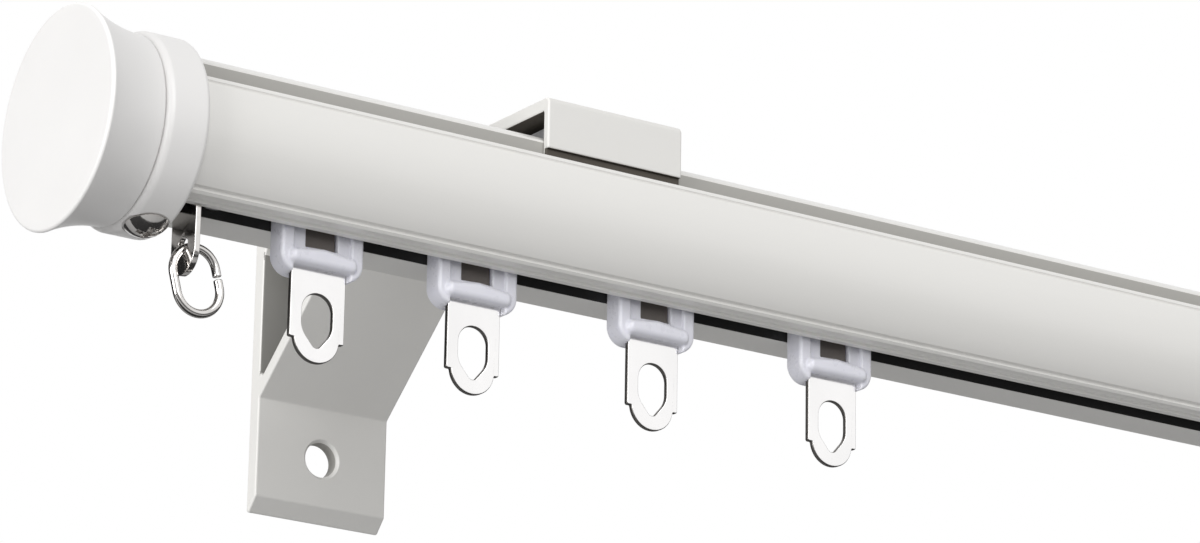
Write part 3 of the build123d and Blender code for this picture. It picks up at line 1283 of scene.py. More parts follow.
@dataclass(frozen=True)
class Finial:
    """Flared head, collar and collar screw at one end. Sizes in millimetres."""

    side: Side
    face_radius: float = 18.3
    length: float = 10.9
    waist_radius: float = 15.5
    rim_radius: float = 0.5
    rim_end: float = 1.45
    rim_margin: float = 0.4
    flare_power: float = 1.9
    flare_drop: float = 0.02
    waist_edge: float = 0.25
    waist_turn: float = math.pi / 2 - 0.1
    waist_lip: Point2 = (0.35, 0.4)
    seam_share: float = 0.8
    collar_gap: float = 0.15
    collar_radius: float = 16.2
    collar_length: float = 7.6
    collar_web: float = 1.5
    collar_edges: tuple[float, ...] = (0.1, 1.3, 0.9, 0.3, 0.2, 0.1)
    bore_radius: float = 14.12
    stem_radius: float = 3.0
    stem_fit: float = 0.05
    screw_place: float = 3.9
    screw_seat: float = 15.65
    seat_fit: float = 0.3
    seat_reach: Point2 = (4.0, 25.0)
    screw_lean: float = math.atan2(2.3, 10.8)
    screw_radius: float = 3.5
    screw_height: float = 2.1
    dome_share: float = 0.8
    dome_power: float = 2.4
    head_skirt: tuple[Point2, ...] = ((0, 0.25), (0.12, 0.06), (0.3, 0))
    shank_radius: float = 1.9
    shank_fit: float = 0.1
    screw_reach: float = 7.4
    cross_half: Point2 = (0.42, 1.75)
    cross_depth: float = 0.95
    cross_wall: float = 0.16
    cross_rise: float = 0.35

    def head(self, face: float) -> MeshData:
        """The head, turned from a profile of flat face, rounded rim, hollow flare and waist.

        At the share s of the way from the rim to the waist the flare's radius is the waist's, plus
        the rest of the face's times (1 - s) to the flare's power.

        Args:
            face: Place of the face along the rod, at the left end.

        Returns:
            The head.
        """
        rim_middle = (self.rim_radius, self.face_radius - self.rim_radius)
        rim = arc(rim_middle, self.rim_radius, math.pi, self.rim_end, step=0.15)
        flare_points, disc_points = 26, 8
        share = np.linspace(0, 1, flare_points)[1:]
        end, edge = self.length, self.waist_edge
        spread = self.face_radius - self.flare_drop - self.waist_radius
        place = self.rim_radius + share * (end - self.rim_radius - edge)
        radius = self.waist_radius + spread * (1 - share) ** self.flare_power
        flare = np.stack([place, radius], axis=1)
        waist = arc((end - edge, self.waist_radius - edge), edge, self.waist_turn, 0, step=0.3)
        seam = end + self.seam_share * self.collar_gap
        step = [(x, self.waist_radius - depth) for x, depth in zip((end, seam), self.waist_lip)]
        stem_end = end + self.collar_gap + self.collar_web
        stem = [(seam, self.stem_radius), (stem_end, self.stem_radius), (stem_end, 0)]
        disc = np.zeros((disc_points, 2))
        disc[:, 1] = np.linspace(0, rim_middle[1] - self.rim_margin, disc_points)
        profile = np.vstack([disc, rim, flare, waist, step, stem])
        return revolved(profile + (face, 0)).on_side(self.side)

    def collar(self, face: float) -> MeshData:
        """The collar: a ring with rounded shoulders, its bore and its web.

        Args:
            face: Place of the head's face along the rod, at the left end.

        Returns:
            The collar without its screw seat.
        """
        start = face + self.length + self.collar_gap
        end = start + self.collar_length
        web = start + self.collar_web
        hole = self.stem_radius + self.stem_fit
        corners = [
            (start, hole),
            (start, self.collar_radius),
            (end, self.collar_radius),
            (end, self.bore_radius),
            (web, self.bore_radius),
            (web, hole),
        ]
        return revolved(rounded(corners, self.collar_edges, steps=8)).on_side(self.side)

    def at_screw(self, mesh: MeshData, face: float) -> MeshData:
        """Moves a mesh whose Z points out of the collar to the screw's place.

        Args:
            mesh: The mesh about the screw's axis.
            face: Place of the head's face along the rod, at the left end.

        Returns:
            The mesh in place.
        """
        turn = Matrix.Rotation(math.pi - self.screw_lean, 3, "X")
        place = (face + self.length + self.collar_gap + self.screw_place, 0, 0)
        return mesh.rotated(turn).moved(place).on_side(self.side)

    def seat(self) -> MeshData:
        """Cutter of the screw's flat seat and of its hole.

        Returns:
            The cutter about the screw's axis.
        """
        wide, deep = self.screw_radius + self.seat_fit, self.screw_seat
        hole = self.shank_radius + self.shank_fit
        start, end = self.seat_reach
        profile = [(start, 0), (start, hole), (deep, hole), (deep, wide), (end, wide), (end, 0)]
        return revolved(np.array(profile, float), axis=2, count=72)

    def screw(self) -> MeshData:
        """The screw, with its dome as a height over rings and spokes.

        At the share s of the head's radius the dome has fallen from the head's height by the dome's
        share of it, times s to the dome's power. The cross lowers it by its depth wherever the
        lesser of the distances to the two bars' edges is inside, with a soft wall and a floor that
        rises outward.

        Returns:
            The closed screw about its own axis, standing on Z = 0.
        """
        rings, spokes = 72, 240
        turn = np.linspace(0, 2 * math.pi, spokes, endpoint=False)
        far = np.linspace(0, self.screw_radius, rings + 1)[1:, None]
        x, y = far * np.cos(turn), far * np.sin(turn)
        fall = self.dome_share * (far / self.screw_radius) ** self.dome_power
        dome = self.screw_height * (1 - fall) + 0 * x
        narrow, reach = self.cross_half
        a, b = np.abs(x), np.abs(y)
        bar = np.minimum(np.maximum(a - narrow, b - reach), np.maximum(b - narrow, a - reach))
        wall = np.clip(0.5 - bar / self.cross_wall, 0, 1)
        floor = self.cross_depth * (1 - self.cross_rise * np.clip(far / reach, 0, 1) ** 2)
        top = np.stack([x, y, dome - floor * wall * wall * (3 - 2 * wall)], axis=-1)
        skirt = [(self.screw_radius - inward, z) for inward, z in self.head_skirt]
        skirt += [(self.shank_radius, 0), (self.shank_radius, -self.screw_reach)]
        below = np.array([[r * np.cos(turn), r * np.sin(turn), 0 * turn + z] for r, z in skirt])
        poles = np.array([(0, 0, self.screw_height - self.cross_depth), (0, 0, -self.screw_reach)])
        return closed_tube(np.concatenate([top, below.transpose(0, 2, 1)]), poles)

    def pieces(self, frame: RodFrame) -> list[Piece]:
        """Places the head, the collar and the screw.

        Args:
            frame: The rod's frame.

        Returns:
            The three pieces.
        """
        word = self.side.word
        face = -abs(frame.span_of(f"finial_head_{word}", 0)[0 if self.side is Side.LEFT else 1])
        screw = self.at_screw(self.screw().moved((0, 0, self.screw_seat)), face)
        seat = self.at_screw(self.seat(), face)
        named = (f"finial_head_{word}", f"finial_collar_{word}", f"collar_screw_{word}")
        body = "rod_assembly"
        return [
            Piece(f"head_{word}", self.head(face), Finishes.finial, body, named[:1]),
            Piece(f"collar_{word}", self.collar(face), Finishes.finial, body, named[1:2], (seat,)),
            Piece(f"screw_{word}", screw, Finishes.nickel, body, named[2:], flat=False),
        ]


@dataclass(frozen=True)
class EndStop:
    """Tab below the rod's end, with its foot and its oval ring. Sizes in millimetres."""

    side: Side
    slot_shift: float = -2.3
    tab_width: float = 7.6
    tab_top: float = -11.4
    tab_bottom: float = -22.2
    tab_thickness: float = 1.0
    tab_edge: float = 0.16
    neck_width: float = 4.0
    foot_width: float = 10.5
    foot_thickness: float = 1.3
    foot_corner: float = 0.3
    foot_edge: float = 0.15
    lip_top: float = -9.2
    eye_radius: float = 1.5
    eye_height: float = -17.4
    wire: float = 0.725
    ring_bend: float = 3.875
    ring_straight: float = 1.5
    ring_lean: float = math.radians(15)
    ring_split: float = 0.35

    def tab_outline(self) -> Array:
        """The tab with its neck and its round tip. Each corner comes with its radius.

        Returns:
            Points in Y and Z.
        """
        half, neck = self.tab_width / 2, self.neck_width / 2
        foot_top = self.lip_top + self.foot_thickness
        tip = half - 0.01
        corners = [
            (-half, self.tab_bottom, tip),
            (half, self.tab_bottom, tip),
            (half, self.tab_top, 0.3),
            (neck, self.tab_top, 0.1),
            (neck, foot_top, 0.2),
            (-neck, foot_top, 0.2),
            (-neck, self.tab_top, 0.1),
            (-half, self.tab_top, 0.3),
        ]
        return rounded_each(corners, steps=16) + (self.slot_shift, 0)

    def stop(self, span: Point2) -> MeshData:
        """The tab and its foot.

        Args:
            span: Where the piece begins and ends along the rod.

        Returns:
            Both, joined.
        """
        inner, outer = min(span, key=abs), max(span, key=abs)
        start, end = sorted((outer, outer + math.copysign(self.tab_thickness, inner - outer)))
        eye = circle((self.slot_shift, self.eye_height), self.eye_radius, 48)
        outline = self.tab_outline()
        upright = plate(outline, [eye], (start, end), self.tab_edge, Plane.ACROSS_ROD)
        front, back = self.slot_shift - self.foot_width / 2, self.slot_shift + self.foot_width / 2
        foot_top = self.lip_top + self.foot_thickness
        corners = [(front, self.lip_top), (back, self.lip_top), (back, foot_top), (front, foot_top)]
        section = rounded(corners, self.foot_corner)
        foot = plate(section, [], (min(span), max(span)), self.foot_edge, Plane.ACROSS_ROD)
        return MeshData.joined([upright, foot])

    def ring(self) -> MeshData:
        """The ring about its middle: a wire along a racetrack in X and Z, open at the split.

        The first and the last step of the path are cut up finely, so that the wire's tips come out
        round.

        Returns:
            The closed wire.
        """
        bend, straight, gap = self.ring_bend, self.ring_straight, self.ring_split / 2
        rise = gap + np.arange(5) * (straight - gap) / 4
        right = np.stack([np.full(4, bend), rise[:-1]], axis=1)
        over = arc((0, straight), bend, 0, math.pi, step=0.06)
        left = np.stack([np.full(5, -bend), straight - np.arange(1, 6) * straight / 3], axis=1)
        under = arc((0, -straight), bend, math.pi, 2 * math.pi, step=0.06)
        last = right[::-1] * (1, -1)
        flat = np.vstack([right, over, left, under, last])
        share = np.linspace(0, 1, 8)[1:-1, None]
        first_tip = flat[0] + share * (flat[1] - flat[0])
        last_tip = flat[-2] + share * (flat[-1] - flat[-2])
        flat = np.vstack([flat[:1], first_tip, flat[1:-1], last_tip, flat[-1:]])
        path = np.stack([flat[:, 0], 0 * flat[:, 0], flat[:, 1]], axis=1)
        return swept(path, self.wire)

    def pieces(self, frame: RodFrame) -> list[Piece]:
        """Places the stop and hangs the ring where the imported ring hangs.

        Args:
            frame: The rod's frame.

        Returns:
            Both pieces.
        """
        word = self.side.word
        stop, ring = f"end_stop_{word}", f"end_ring_{word}"
        spans = [frame.span_of(ring, axis) for axis in range(3)]
        middle = [(low + high) / 2 for low, high in spans]
        turn = Matrix.Rotation(-self.ring_lean, 3, "Y")
        hung = self.ring().rotated(turn).on_side(self.side).moved(middle)
        tab = self.stop(frame.span_of(stop, 0))
        return [
            Piece(f"stop_{word}", tab, Finishes.nickel, "rod_assembly", (stop,)),
            Piece(f"ring_{word}", hung, Finishes.nickel, ring, (ring,), flat=False),
        ]


@dataclass(frozen=True)
class Bracket:
    """Extruded wall bracket: wall plate, arm, strut and claw. Sizes in millimetres."""

    side: Side
    wall: float = 84.5
    plate_thickness: float = 3.0
    arm: Point2 = (16.4, 18.7)
    plate_bottom: float = -33.3
    bevel: float = 3.4
    strut_foot: float = -12.0
    strut_head: float = 49.0
    strut_thickness: float = 2.3
    claw: Point2 = (-9.9, -8.4)
    claw_bottom: float = 9.7
    tongue_front: float = -9.3
    tongue_bottom: float = 5.6
    barb_top: float = 6.7
    # Where the painted shadow under the arm ends, with a point of the outline there, and how far
    # behind the claw's front it begins on the tongue.
    painted_shadow_end: float = 15.0
    painted_shadow_inset: float = 0.12
    window_foot: float = 4.0
    edge: float = 0.35
    hole_height: float = -21.2
    hole_radius: float = 3.15
    hole_chamfer: float = 0.5
    lock_hole_radius: float = 2.05
    lock_hole_mouth: float = 0.25

    def outline(self) -> Array:
        """The section's outer line. Each corner comes with its radius.

        Returns:
            Points in Y and Z.
        """
        front, low, high = self.wall - self.plate_thickness, self.arm[0], self.arm[1]
        claw_front, claw_back = self.claw
        corners = [
            (self.wall, self.plate_bottom, 0.5),
            (self.wall, high, 1.2),
            (claw_front, high, 1.1),
            (claw_front, self.claw_bottom, 0.37),
            (self.tongue_front, self.claw_bottom, 0.1),
            (self.tongue_front, self.barb_top, 0.1),
            (claw_front, self.barb_top, 0.37),
            (claw_front, self.tongue_bottom, 0.4),
            (claw_back, self.tongue_bottom, 0.37),
            (claw_back, low, 0.4),
            (self.painted_shadow_end, low, 0),
            (self.strut_head, low, 1.2),
            (front, self.strut_foot, 0.5),
            (front, self.plate_bottom + self.bevel, 0.7),
        ]
        return rounded_each(corners, steps=8)

    def window(self) -> Array:
        """The triangle between the wall plate, the arm and the strut.

        Returns:
            Points in Y and Z.
        """
        front, low = self.wall - self.plate_thickness, self.arm[0]
        run, drop = front - self.strut_head, low - self.strut_foot
        rise = self.strut_thickness * math.hypot(run, drop)
        corners = [
            (front, low, 3.0),
            (self.strut_head + rise / drop, low, 0.8),
            (front, self.strut_foot + rise / run, 0.8),
        ]
        return rounded_each(corners, steps=10)

    def hole(self, middle: float) -> MeshData:
        """Cutter of the wall screw's hole, turned about Y.

        Its mouth is a chamfer whose last tenth runs into the bore more steeply.

        Args:
            middle: The bracket's middle along the rod.

        Returns:
            The cutter.
        """
        front, r, c = self.wall - self.plate_thickness, self.hole_radius, self.hole_chamfer
        profile = [(front - 1, 0), (front - 1, r + c + 1), (front + c * 0.9, r + c * 0.1)]
        profile += [(front + c * 1.2, r), (self.wall + 1, r), (self.wall + 1, 0)]
        cutter = revolved(np.array(profile, float), axis=1, count=96)
        return cutter.moved((middle, 0, self.hole_height))

    def lock_hole(self, middle: float) -> MeshData:
        """Cutter of the lock screw's hole in the arm, turned about Z, with a small chamfer above.

        Args:
            middle: The bracket's middle along the rod.

        Returns:
            The cutter.
        """
        low, high, r, c = *self.arm, self.lock_hole_radius, self.lock_hole_mouth
        past = 2 * c
        profile = [(low - 1, 0), (low - 1, r), (high - c, r)]
        profile += [(high + past, r + c + past), (high + past, 0)]
        return revolved(np.array(profile, float), axis=2, count=64).moved((middle, 0, 0))

    def pieces(self, frame: RodFrame) -> list[Piece]:
        """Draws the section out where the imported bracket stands.

        Args:
            frame: The rod's frame.

        Returns:
            The bracket.
        """
        node = f"bracket_{self.side.word}"
        span = frame.span_of(node, 0)
        middle = sum(span) / 2
        mesh = plate(self.outline(), [self.window()], span, self.edge, Plane.ACROSS_ROD, steps=5)
        cuts = (self.hole(middle), self.lock_hole(middle))
        name = f"wall_bracket_{self.side.word}"
        patches = self.patches(span[0] - 1, span[1] + 1)
        return [Piece(name, mesh, Finishes.bracket, "rod_assembly", (node,), cuts, patches)]

    def patches(self, start: float, end: float) -> tuple[Patch, ...]:
        """Marks the faces that the photo shows in shade.

        Args:
            start: A place before the bracket, along the rod.
            end: A place past it.

        Returns:
            The tongue below the claw, the arm's underside, the window's wall and the wall screw's
            bore.
        """
        near, front, under = PATCH_REACH, self.wall - self.plate_thickness, self.arm[0]
        middle, bore = (start + end) / 2, self.hole_radius + near / 2
        # Painted shadow: the tongue below the claw and the arm's underside take a near-black
        # colour, where the claw and the arm shade them.
        tongue = Patch(
            Finishes.recess,
            (start, self.claw[0] + self.painted_shadow_inset, self.tongue_bottom),
            (end, self.claw[1] + 4 * near, self.claw_bottom + near),
        )
        underside = Patch(
            Finishes.recess,
            (start, self.claw[1], under - near),
            (end, self.painted_shadow_end, under + near),
        )
        # Painted shade: the wall plate's face inside the window and the wall screw's bore take
        # darker colours.
        inside = Patch(
            Finishes.inside,
            (start, front - near, self.strut_foot + self.window_foot),
            (end, front + near, under),
        )
        hole = Patch(
            Finishes.shaded,
            (middle - bore, front + 1.1 * self.hole_chamfer, self.hole_height - bore),
            (middle + bore, self.wall - near, self.hole_height + bore),
        )
        return tongue, underside, inside, hole


@dataclass(frozen=True)
class Glider:
    """Nylon body and stamped eye plate, drawn about the glider's middle. Sizes in millimetres."""

    margin: float = 0.6
    half: float = 7.6
    front: float = -4.4
    back: float = -0.2
    edge: float = 0.55
    bottom: float = -18.4
    top: float = -3.0
    shoulder: float = -11.4
    corner: float = 3.2
    cheek: float = 2.3
    recess: float = 0.5
    window_half: float = 3.0
    window: Point2 = (-13.9, -9.2)
    bar_bottom: float = -17.0
    bar_half: float = 6.2
    bar_front: float = -5.3
    bar_peak: float = 0.8
    bar_edge: float = 1.0
    bar_fillet: float = 0.35
    fit: float = 0.05
    plate_front: float = -3.2
    plate_back: float = -2.3
    plate_half: float = 5.05
    plate_bottom: float = -32.4
    plate_step: float = 0.9
    plate_shoulder: float = -28.7
    plate_top: float = -9.9
    plate_edge: float = 0.18
    stem_half: float = 2.8
    stem_bottom: float = -15.0
    eye_half: float = 2.85
    eye_top: float = -21.0
    eye_side_bottom: float = -27.1
    eye_bottom: float = -29.9
    eye_tip: float = 1.0
    eye_side_radius: float = 3.5
    axle_spacing: float = 8.6
    axle_height: float = -6.3
    axle_bore: float = 0.85
    bore_soft: float = 0.1
    pitch: float = 0.15

    def body(self) -> MeshData:
        """The moulded body, as the surface where a distance is nothing.

        It begins as a block with round lower corners. The pockets and the axles' bores are cut out
        with soft edges, and the bar, whose top falls from a ridge, is joined on with a fillet.

        Returns:
            The body.
        """
        margin = self.margin
        low = (-self.half - margin, self.bar_front - margin, self.bottom - margin)
        room = Room(low, (self.half + margin, self.back + margin, self.top + margin), self.pitch)
        x, y, z = room.axes()
        solid = self.blank(x, y, z)
        for pocket in self.pockets():
            solid = pocket.cut_from(solid, room)
        for sign in (-1, 1):
            bore = np.hypot(x - sign * self.axle_spacing / 2, z - self.axle_height) - self.axle_bore
            solid = soft_cut(solid, bore + 0 * y, self.bore_soft)
        peak = self.window[0] - self.bar_peak * np.abs(x) / self.bar_half
        low = (-self.bar_half, self.bar_front, self.bar_bottom)
        bar = room.block(low, (self.bar_half, self.front + 2, peak), self.bar_edge)
        bar = np.maximum(bar, y - self.plate_front + self.fit)
        return room.surface(soft_join(solid, bar, self.bar_fillet))

    def blank(self, x: Array, y: Array, z: Array) -> Array:
        """The block that the body is cut from, with round lower corners and rounded edges.

        Args:
            x: Places of the samples along the rod.
            y: Their places towards the wall.
            z: Their heights.

        Returns:
            The distance at each sample.
        """
        middle, height = (self.top + self.bottom) / 2, self.top - self.bottom
        past_x = np.abs(x) - (self.half - self.corner)
        past_z = np.abs(z - middle) - (height / 2 - self.corner)
        outline = np.hypot(np.maximum(past_x, 0), np.maximum(past_z, 0))
        outline = outline + np.minimum(np.maximum(past_x, past_z), 0) - self.corner
        deep = np.abs(y - (self.front + self.back) / 2) - (self.back - self.front) / 2 + self.edge
        across, deep = np.broadcast_arrays(outline + self.edge, deep)
        solid = np.hypot(np.maximum(across, 0), np.maximum(deep, 0))
        return solid + np.minimum(np.maximum(across, deep), 0) - self.edge

    def pockets(self) -> tuple[Pocket, ...]:
        """Lists what is cut out of the block from the front.

        Returns:
            Both panels, the window, the pocket in front of the plate and the plate's own slot.
        """
        inside, past, below = self.half - self.cheek, self.front - 2, self.bottom - 2
        panel_floor, panel_top = self.front + self.recess, self.shoulder + 3
        half, wide = self.window_half, self.plate_half + self.fit
        sill, lintel = self.window
        left = ((-inside, past, self.bar_bottom), (-half, panel_floor, panel_top))
        right = ((half, past, self.bar_bottom), (inside, panel_floor, panel_top))
        window = ((-half, past, sill), (half, self.plate_back, lintel))
        before_plate = ((-inside, past, below), (inside, self.plate_front, self.bar_bottom))
        slot_back = self.plate_back + self.fit
        slot = ((-wide, self.plate_front - self.fit, below), (wide, slot_back, self.stem_bottom))
        return (
            Pocket(*left, edge=0.2, soft=0.3),
            Pocket(*right, edge=0.2, soft=0.3),
            Pocket(*window, edge=0.25, soft=0.25),
            Pocket(*before_plate, edge=0.15, soft=0.25),
            Pocket(*slot, edge=0.05, soft=0.1),
        )

    def plate(self) -> MeshData:
        """The stamped plate: stem, straight sides, a step in and a round end.

        Each corner comes with its radius, which at the round end stays just under the half width.

        Returns:
            The plate with its eye.
        """
        half, stem, end = self.plate_half, self.stem_half, self.plate_half - self.plate_step
        tip = end - 0.03
        corners = [
            (-end, self.plate_bottom, tip),
            (end, self.plate_bottom, tip),
            (end, self.plate_shoulder, 0.12),
            (half, self.plate_shoulder, 0.35),
            (half, self.stem_bottom, 0.4),
            (stem, self.stem_bottom, 0.2),
            (stem, self.plate_top, 0.4),
            (-stem, self.plate_top, 0.4),
            (-stem, self.stem_bottom, 0.2),
            (-half, self.stem_bottom, 0.4),
            (-half, self.plate_shoulder, 0.35),
            (-end, self.plate_shoulder, 0.12),
        ]
        span = (self.plate_front, self.plate_back)
        outer = rounded_each(corners, steps=16)
        return plate(outer, [self.eye()], span, self.plate_edge, Plane.FACING_ROOM)

    def eye(self) -> Array:
        """The eye's outline: a half-round top, straight sides and a rounded point below.

        The sides run on from their lower ends, as tangents of the point's own circle, to the apex.

        Returns:
            Points in X and Z.
        """
        half, tip, side = self.eye_half, self.eye_tip, self.eye_side_radius
        down = self.eye_side_bottom - (self.eye_bottom + tip)
        slope = math.atan2(half, down) - math.asin(tip / math.hypot(half, down))
        apex = self.eye_side_bottom - half / math.tan(slope)
        top = half - 0.02
        corners = [
            (half, self.eye_top, top),
            (-half, self.eye_top, top),
            (-half, self.eye_side_bottom, side),
            (0, apex, tip),
            (half, self.eye_side_bottom, side),
        ]
        return rounded_each(corners, steps=16)

    def pieces(self, frame: RodFrame, count: int) -> list[Piece]:
        """Copies the body and the plate to every glider's place.

        Args:
            frame: The rod's frame.
            count: The number of gliders.

        Returns:
            Two pieces for each glider.
        """
        body, stamped = self.body(), self.plate()
        reach, skin = self.plate_half + 1, 0.01
        made = []
        for number in range(1, count + 1):
            node, hook, rider = f"glider_body_{number}", f"eye_plate_{number}", f"glider_{number}"
            middle = sum(frame.span_of(node, 0)) / 2
            at, low, high = (middle, 0, 0), middle - reach, middle + reach
            # Painted shade: the stem, seen through the body's window, takes a dark non-metal colour
            # instead of the steel's reflection.
            stem = Patch(
                Finishes.painted_stem_shade,
                (low, self.plate_front - 1, self.stem_bottom + 2 * PATCH_REACH),
                (high, self.plate_back + 1, self.plate_top + 1),
            )
            # Painted shade: the plate's edges and the eye's wall take a dark metal.
            edges = Patch(
                Finishes.painted_edge_shade,
                (low, self.plate_front + skin, self.plate_bottom - 1),
                (high, self.plate_back - skin, self.stem_bottom),
            )
            shown, eyelet = body.moved(at), stamped.moved(at)
            patches = (stem, edges)
            made += [
                Piece(f"runner_{number}", shown, Finishes.nylon, rider, (node,), flat=False),
                Piece(f"eyelet_{number}", eyelet, Finishes.steel, rider, (hook,), patches=patches),
            ]
        return made


@dataclass(frozen=True)
class Wheelset:
    """Two rollers on one axle, turned about Y. Sizes in millimetres."""

    slot_shift: float = -2.3
    height: float = -6.3
    inner: float = 2.3
    width: float = 1.8
    radius: float = 2.75
    hub: float = 1.25
    axle: float = 0.75
    tread: float = 0.3
    dish: float = 0.3
    rim: Point2 = (0.6, 0.75)
    hub_edge: Point2 = (0.1, 0.15)

    def mesh(self) -> MeshData:
        """The wheelset about its own middle: rounded treads, and a hub dished into each side.

        Returns:
            The closed wheelset.
        """
        inner, outer, top, tread = self.inner, self.inner + self.width, self.radius, self.tread
        wide, deep = self.hub_edge
        half = np.vstack(
            [
                [(0, self.axle), (inner, self.axle), (inner, top - tread)],
                arc((inner + tread, top - tread), tread, math.pi, math.pi / 2, step=0.3),
                arc((outer - tread, top - tread), tread, math.pi / 2, 0, step=0.3),
                [(outer, top - self.rim[0]), (outer - self.dish, top - self.rim[1])],
                [(outer - self.dish, self.hub + wide), (outer - wide, self.hub)],
                [(outer, self.hub - deep), (outer, 0)],
            ]
        )
        mirrored = half[::-1] * (-1, 1)
        return revolved(np.vstack([mirrored[:-1], half]), axis=1, count=64)

    def pieces(self, frame: RodFrame, count: int) -> list[Piece]:
        """Copies the wheelset to both axles of every glider.

        Args:
            frame: The rod's frame.
            count: The number of gliders.

        Returns:
            Two pieces for each glider.
        """
        mesh = self.mesh()
        names = [f"wheelset_{number}_{mark}" for number in range(1, count + 1) for mark in "ab"]
        made = []
        for name in names:
            at = (sum(frame.span_of(name, 0)) / 2, self.slot_shift, self.height)
            shown = name.replace("wheelset", "rollers")
            made.append(Piece(shown, mesh.moved(at), Finishes.nylon, name, (name,), flat=False))
        return made


# Studio


@dataclass(frozen=True)
class Lamp:
    """A square area light. Places in metres in the part's frame.

    Attributes:
        name: The light's name.
        place: Where it stands.
        target: What it looks at.
        size: Its side.
        power: Its power in watts.
    """

    name: str
    place: Point3
    target: Point3
    size: float
    power: float

    def hang(self) -> bpy.types.Object:
        """Adds the light to the scene.

        Returns:
            The light.
        """
        data = bpy.data.lights.new(self.name, "AREA")
        data.shape = "SQUARE"
        data.size = self.size
        data.energy = self.power
        lamp = linked(self.name, data)
        lamp.location = self.place
        away = Vector(self.place) - Vector(self.target)
        lamp.rotation_euler = away.to_track_quat("Z", "Y").to_euler()
        return lamp


@dataclass(frozen=True)
class Card:
    """A dark card that shows only in reflections. Places in metres in the part's frame.

    Attributes:
        name: The card's name.
        place: Its middle.
        target: What it looks at.
        width: Its width.
        height: Its height.
        colour: Its cloth's colour.
    """

    name: str
    place: Point3
    target: Point3
    width: float
    height: float
    colour: Point3 = (0.02, 0.02, 0.02)

    def stand(self) -> bpy.types.Object:
        """Adds the card to the scene.

        Returns:
            The card.
        """
        across, up = self.width / 2, self.height / 2
        corners = np.array([(-across, -up, 0), (across, -up, 0), (across, up, 0), (-across, up, 0)])
        away = Vector(self.place) - Vector(self.target)
        turn = np.array(away.to_track_quat("Z", "Y").to_matrix())
        card = sheet(self.name, corners @ turn.T + self.place)
        card.data.materials.append(self.material())
        for seen_by in ("camera", "diffuse", "transmission", "shadow", "volume_scatter"):
            setattr(card, "visible_" + seen_by, False)
        return card

    def material(self) -> bpy.types.Material:
        """Makes the card's matt cloth.

        Returns:
            The material.
        """
        cloth = Detail("card_cloth", (400, 400, 400), (3, 3, 3), 0.3, 0.05)
        return Finish(self.name, self.colour, 0.9, cloth, 1e-4).material()


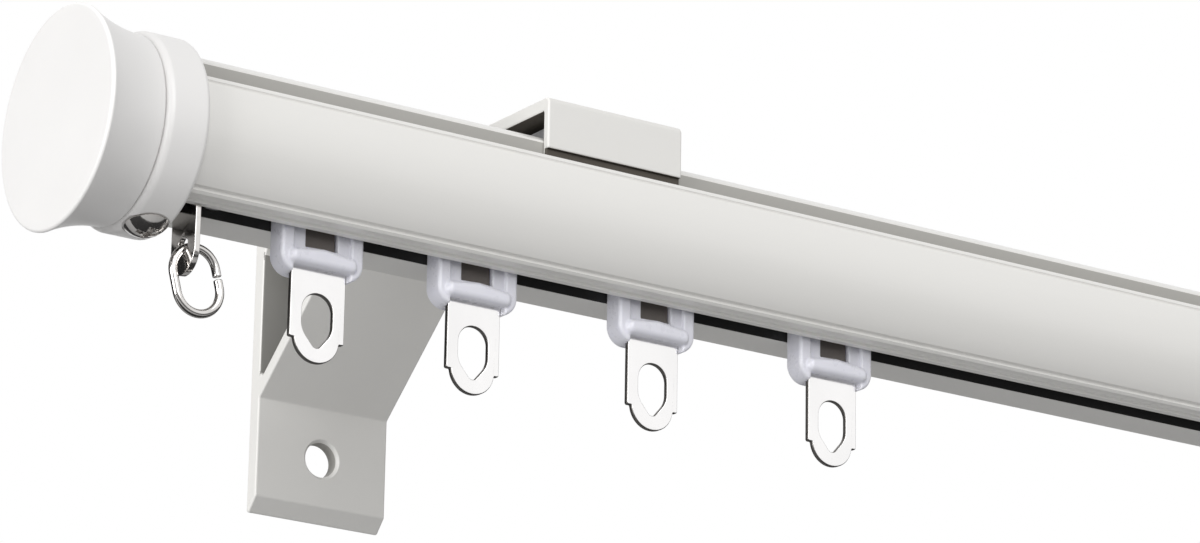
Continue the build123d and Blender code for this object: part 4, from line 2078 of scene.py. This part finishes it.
@dataclass(frozen=True)
class Studio:
    """Floor, lights, cards, surroundings and camera. Places in metres in the part's frame."""

    floor_height: float = -0.6
    floor_reach: float = 30.0
    ambient: float = 0.46
    eye: Point3 = (-0.443281, -0.749928, -0.235349)
    right: Point3 = (0.82694683, -0.56203815, 0.01649428)
    up: Point3 = (-0.18081319, -0.23803145, 0.95427859)
    lens: float = 151.79
    sensor: float = 36.0
    lamps: tuple[Lamp, ...] = (
        Lamp("left_softbox", (-2.0, -0.35, 0.15), (-0.1, -0.08, 0.0), 1.2, 30.0),
        Lamp("front_softbox", (-0.4, -1.9, 0.90), (0.15, -0.08, 0.0), 1.5, 22.5),
    )
    cards: tuple[Card, ...] = (
        Card("back_card", (-1.2, 1.7, 0.6), (0.0, -0.08, 0.0), 3.0, 2.0),
        Card("end_card", (2.4, 0.5, 0.3), (0.2, -0.08, 0.0), 2.4, 1.8),
        Card("low_card_near", (0.2, -1.5, -0.59), (0.2, -1.5, 1.0), 8.0, 0.9),
        Card("low_card_middle", (0.2, -0.1, -0.59), (0.2, -0.1, 1.0), 8.0, 0.7),
        Card("low_card_far", (0.2, 2.4, -0.59), (0.2, 2.4, 1.0), 8.0, 2.8),
    )

    def floor(self) -> bpy.types.Object:
        """A pale floor that is seen from above only.

        Returns:
            The floor.
        """
        reach, z = self.floor_reach, self.floor_height
        corners = [(-reach, -reach, z), (reach, -reach, z), (reach, reach, z), (-reach, reach, z)]
        floor = sheet("studio_floor", np.array(corners))
        paper = Detail("floor_paper", (250, 250, 250), (1.5, 1.5, 1.5), 0.01, 0.03)
        matt = {"Specular IOR Level": 0.0}
        material = Finish("floor", (0.50, 0.50, 0.50), 0.9, paper, 1e-4, settings=matt).material()
        tree = material.node_tree
        shader, output = tree.nodes["Principled BSDF"], tree.nodes["Material Output"]
        pale = add_node(tree, "BsdfDiffuse", Color=(0.95, 0.95, 0.95, 1.0))
        ray = add_node(tree, "LightPath")
        seen = add_node(tree, "MixShader")
        side = add_node(tree, "NewGeometry")
        clear = add_node(tree, "BsdfTransparent")
        either = add_node(tree, "MixShader")
        wire(
            tree,
            (ray, "Is Camera Ray", seen, 0),
            (shader, 0, seen, 1),
            (pale, 0, seen, 2),
            (side, "Backfacing", either, 0),
            (seen, 0, either, 1),
            (clear, 0, either, 2),
            (either, 0, output, "Surface"),
        )
        floor.data.materials.append(material)
        return floor

    def surroundings(self) -> None:
        """White for the camera and for reflections, and a dimmer light on everything else."""
        world = bpy.data.worlds.new("studio")
        bpy.context.scene.world = world
        world.use_nodes = True
        tree = world.node_tree
        dim = tree.nodes["Background"]
        dim.inputs["Color"].default_value = (1.0, 1.0, 1.0, 1.0)
        dim.inputs["Strength"].default_value = self.ambient
        white = add_node(tree, "Background", Color=(1.0, 1.0, 1.0, 1.0), Strength=1.0)
        ray = add_node(tree, "LightPath")
        seen = add_node(tree, "Math", "MAXIMUM")
        also = add_node(tree, "Math", "MAXIMUM")
        either = add_node(tree, "MixShader")
        wire(
            tree,
            (ray, "Is Camera Ray", seen, 0),
            (ray, "Is Glossy Ray", seen, 1),
            (seen, 0, also, 0),
            (ray, "Is Transmission Ray", also, 1),
            (also, 0, either, 0),
            (dim, 0, either, 1),
            (white, 0, either, 2),
            (either, 0, tree.nodes["World Output"], "Surface"),
        )

    def camera(self) -> bpy.types.Object:
        """The camera at the photo's viewpoint.

        Returns:
            The camera.
        """
        data = bpy.data.cameras.new("photo_camera")
        data.lens = self.lens
        data.sensor_width = self.sensor
        data.clip_start = 0.01
        camera = linked("photo_camera", data)
        right, up = Vector(self.right), Vector(self.up)
        turn = Matrix((right, up, right.cross(up))).transposed()
        camera.matrix_world = Matrix.Translation(self.eye) @ turn.to_4x4()
        bpy.context.scene.camera = camera
        return camera

    def build(self) -> None:
        """Sets up the whole studio."""
        self.surroundings()
        self.camera()
        self.floor()
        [lamp.hang() for lamp in self.lamps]
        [card.stand() for card in self.cards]
        bpy.context.scene.view_settings.view_transform = "Standard"


def show_small_nodes(nodes: dict[str, bpy.types.Object]) -> None:
    """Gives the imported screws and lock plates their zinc.

    Args:
        nodes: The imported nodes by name.
    """
    for name, node in nodes.items():
        if name.startswith(("lock_", "end_stop_screw")):
            node.data.materials.clear()
            node.data.materials.append(Finishes.zinc.material())
            logger.info("%s: packed node in zinc", name)


def main() -> None:
    """Builds the scene in order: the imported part, its pieces and the studio."""
    logging.basicConfig(level=logging.INFO, format="%(name)s: %(message)s")
    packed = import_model()
    rod = Rod()
    frame = RodFrame.read(rod.radius)
    workshop = Workshop(frame)
    gliders = sum(name.startswith("glider_body_") for name in packed["nodes"])
    pieces = rod.pieces(frame)
    for side in Side:
        pieces += Finial(side).pieces(frame)
        pieces += EndStop(side).pieces(frame)
        pieces += Bracket(side).pieces(frame)
    pieces += Glider().pieces(frame, gliders)
    pieces += Wheelset().pieces(frame, gliders)
    for piece in pieces:
        workshop.show(piece)
    show_small_nodes(packed["nodes"])
    Studio().build()


if __name__ == "__main__":
    main()
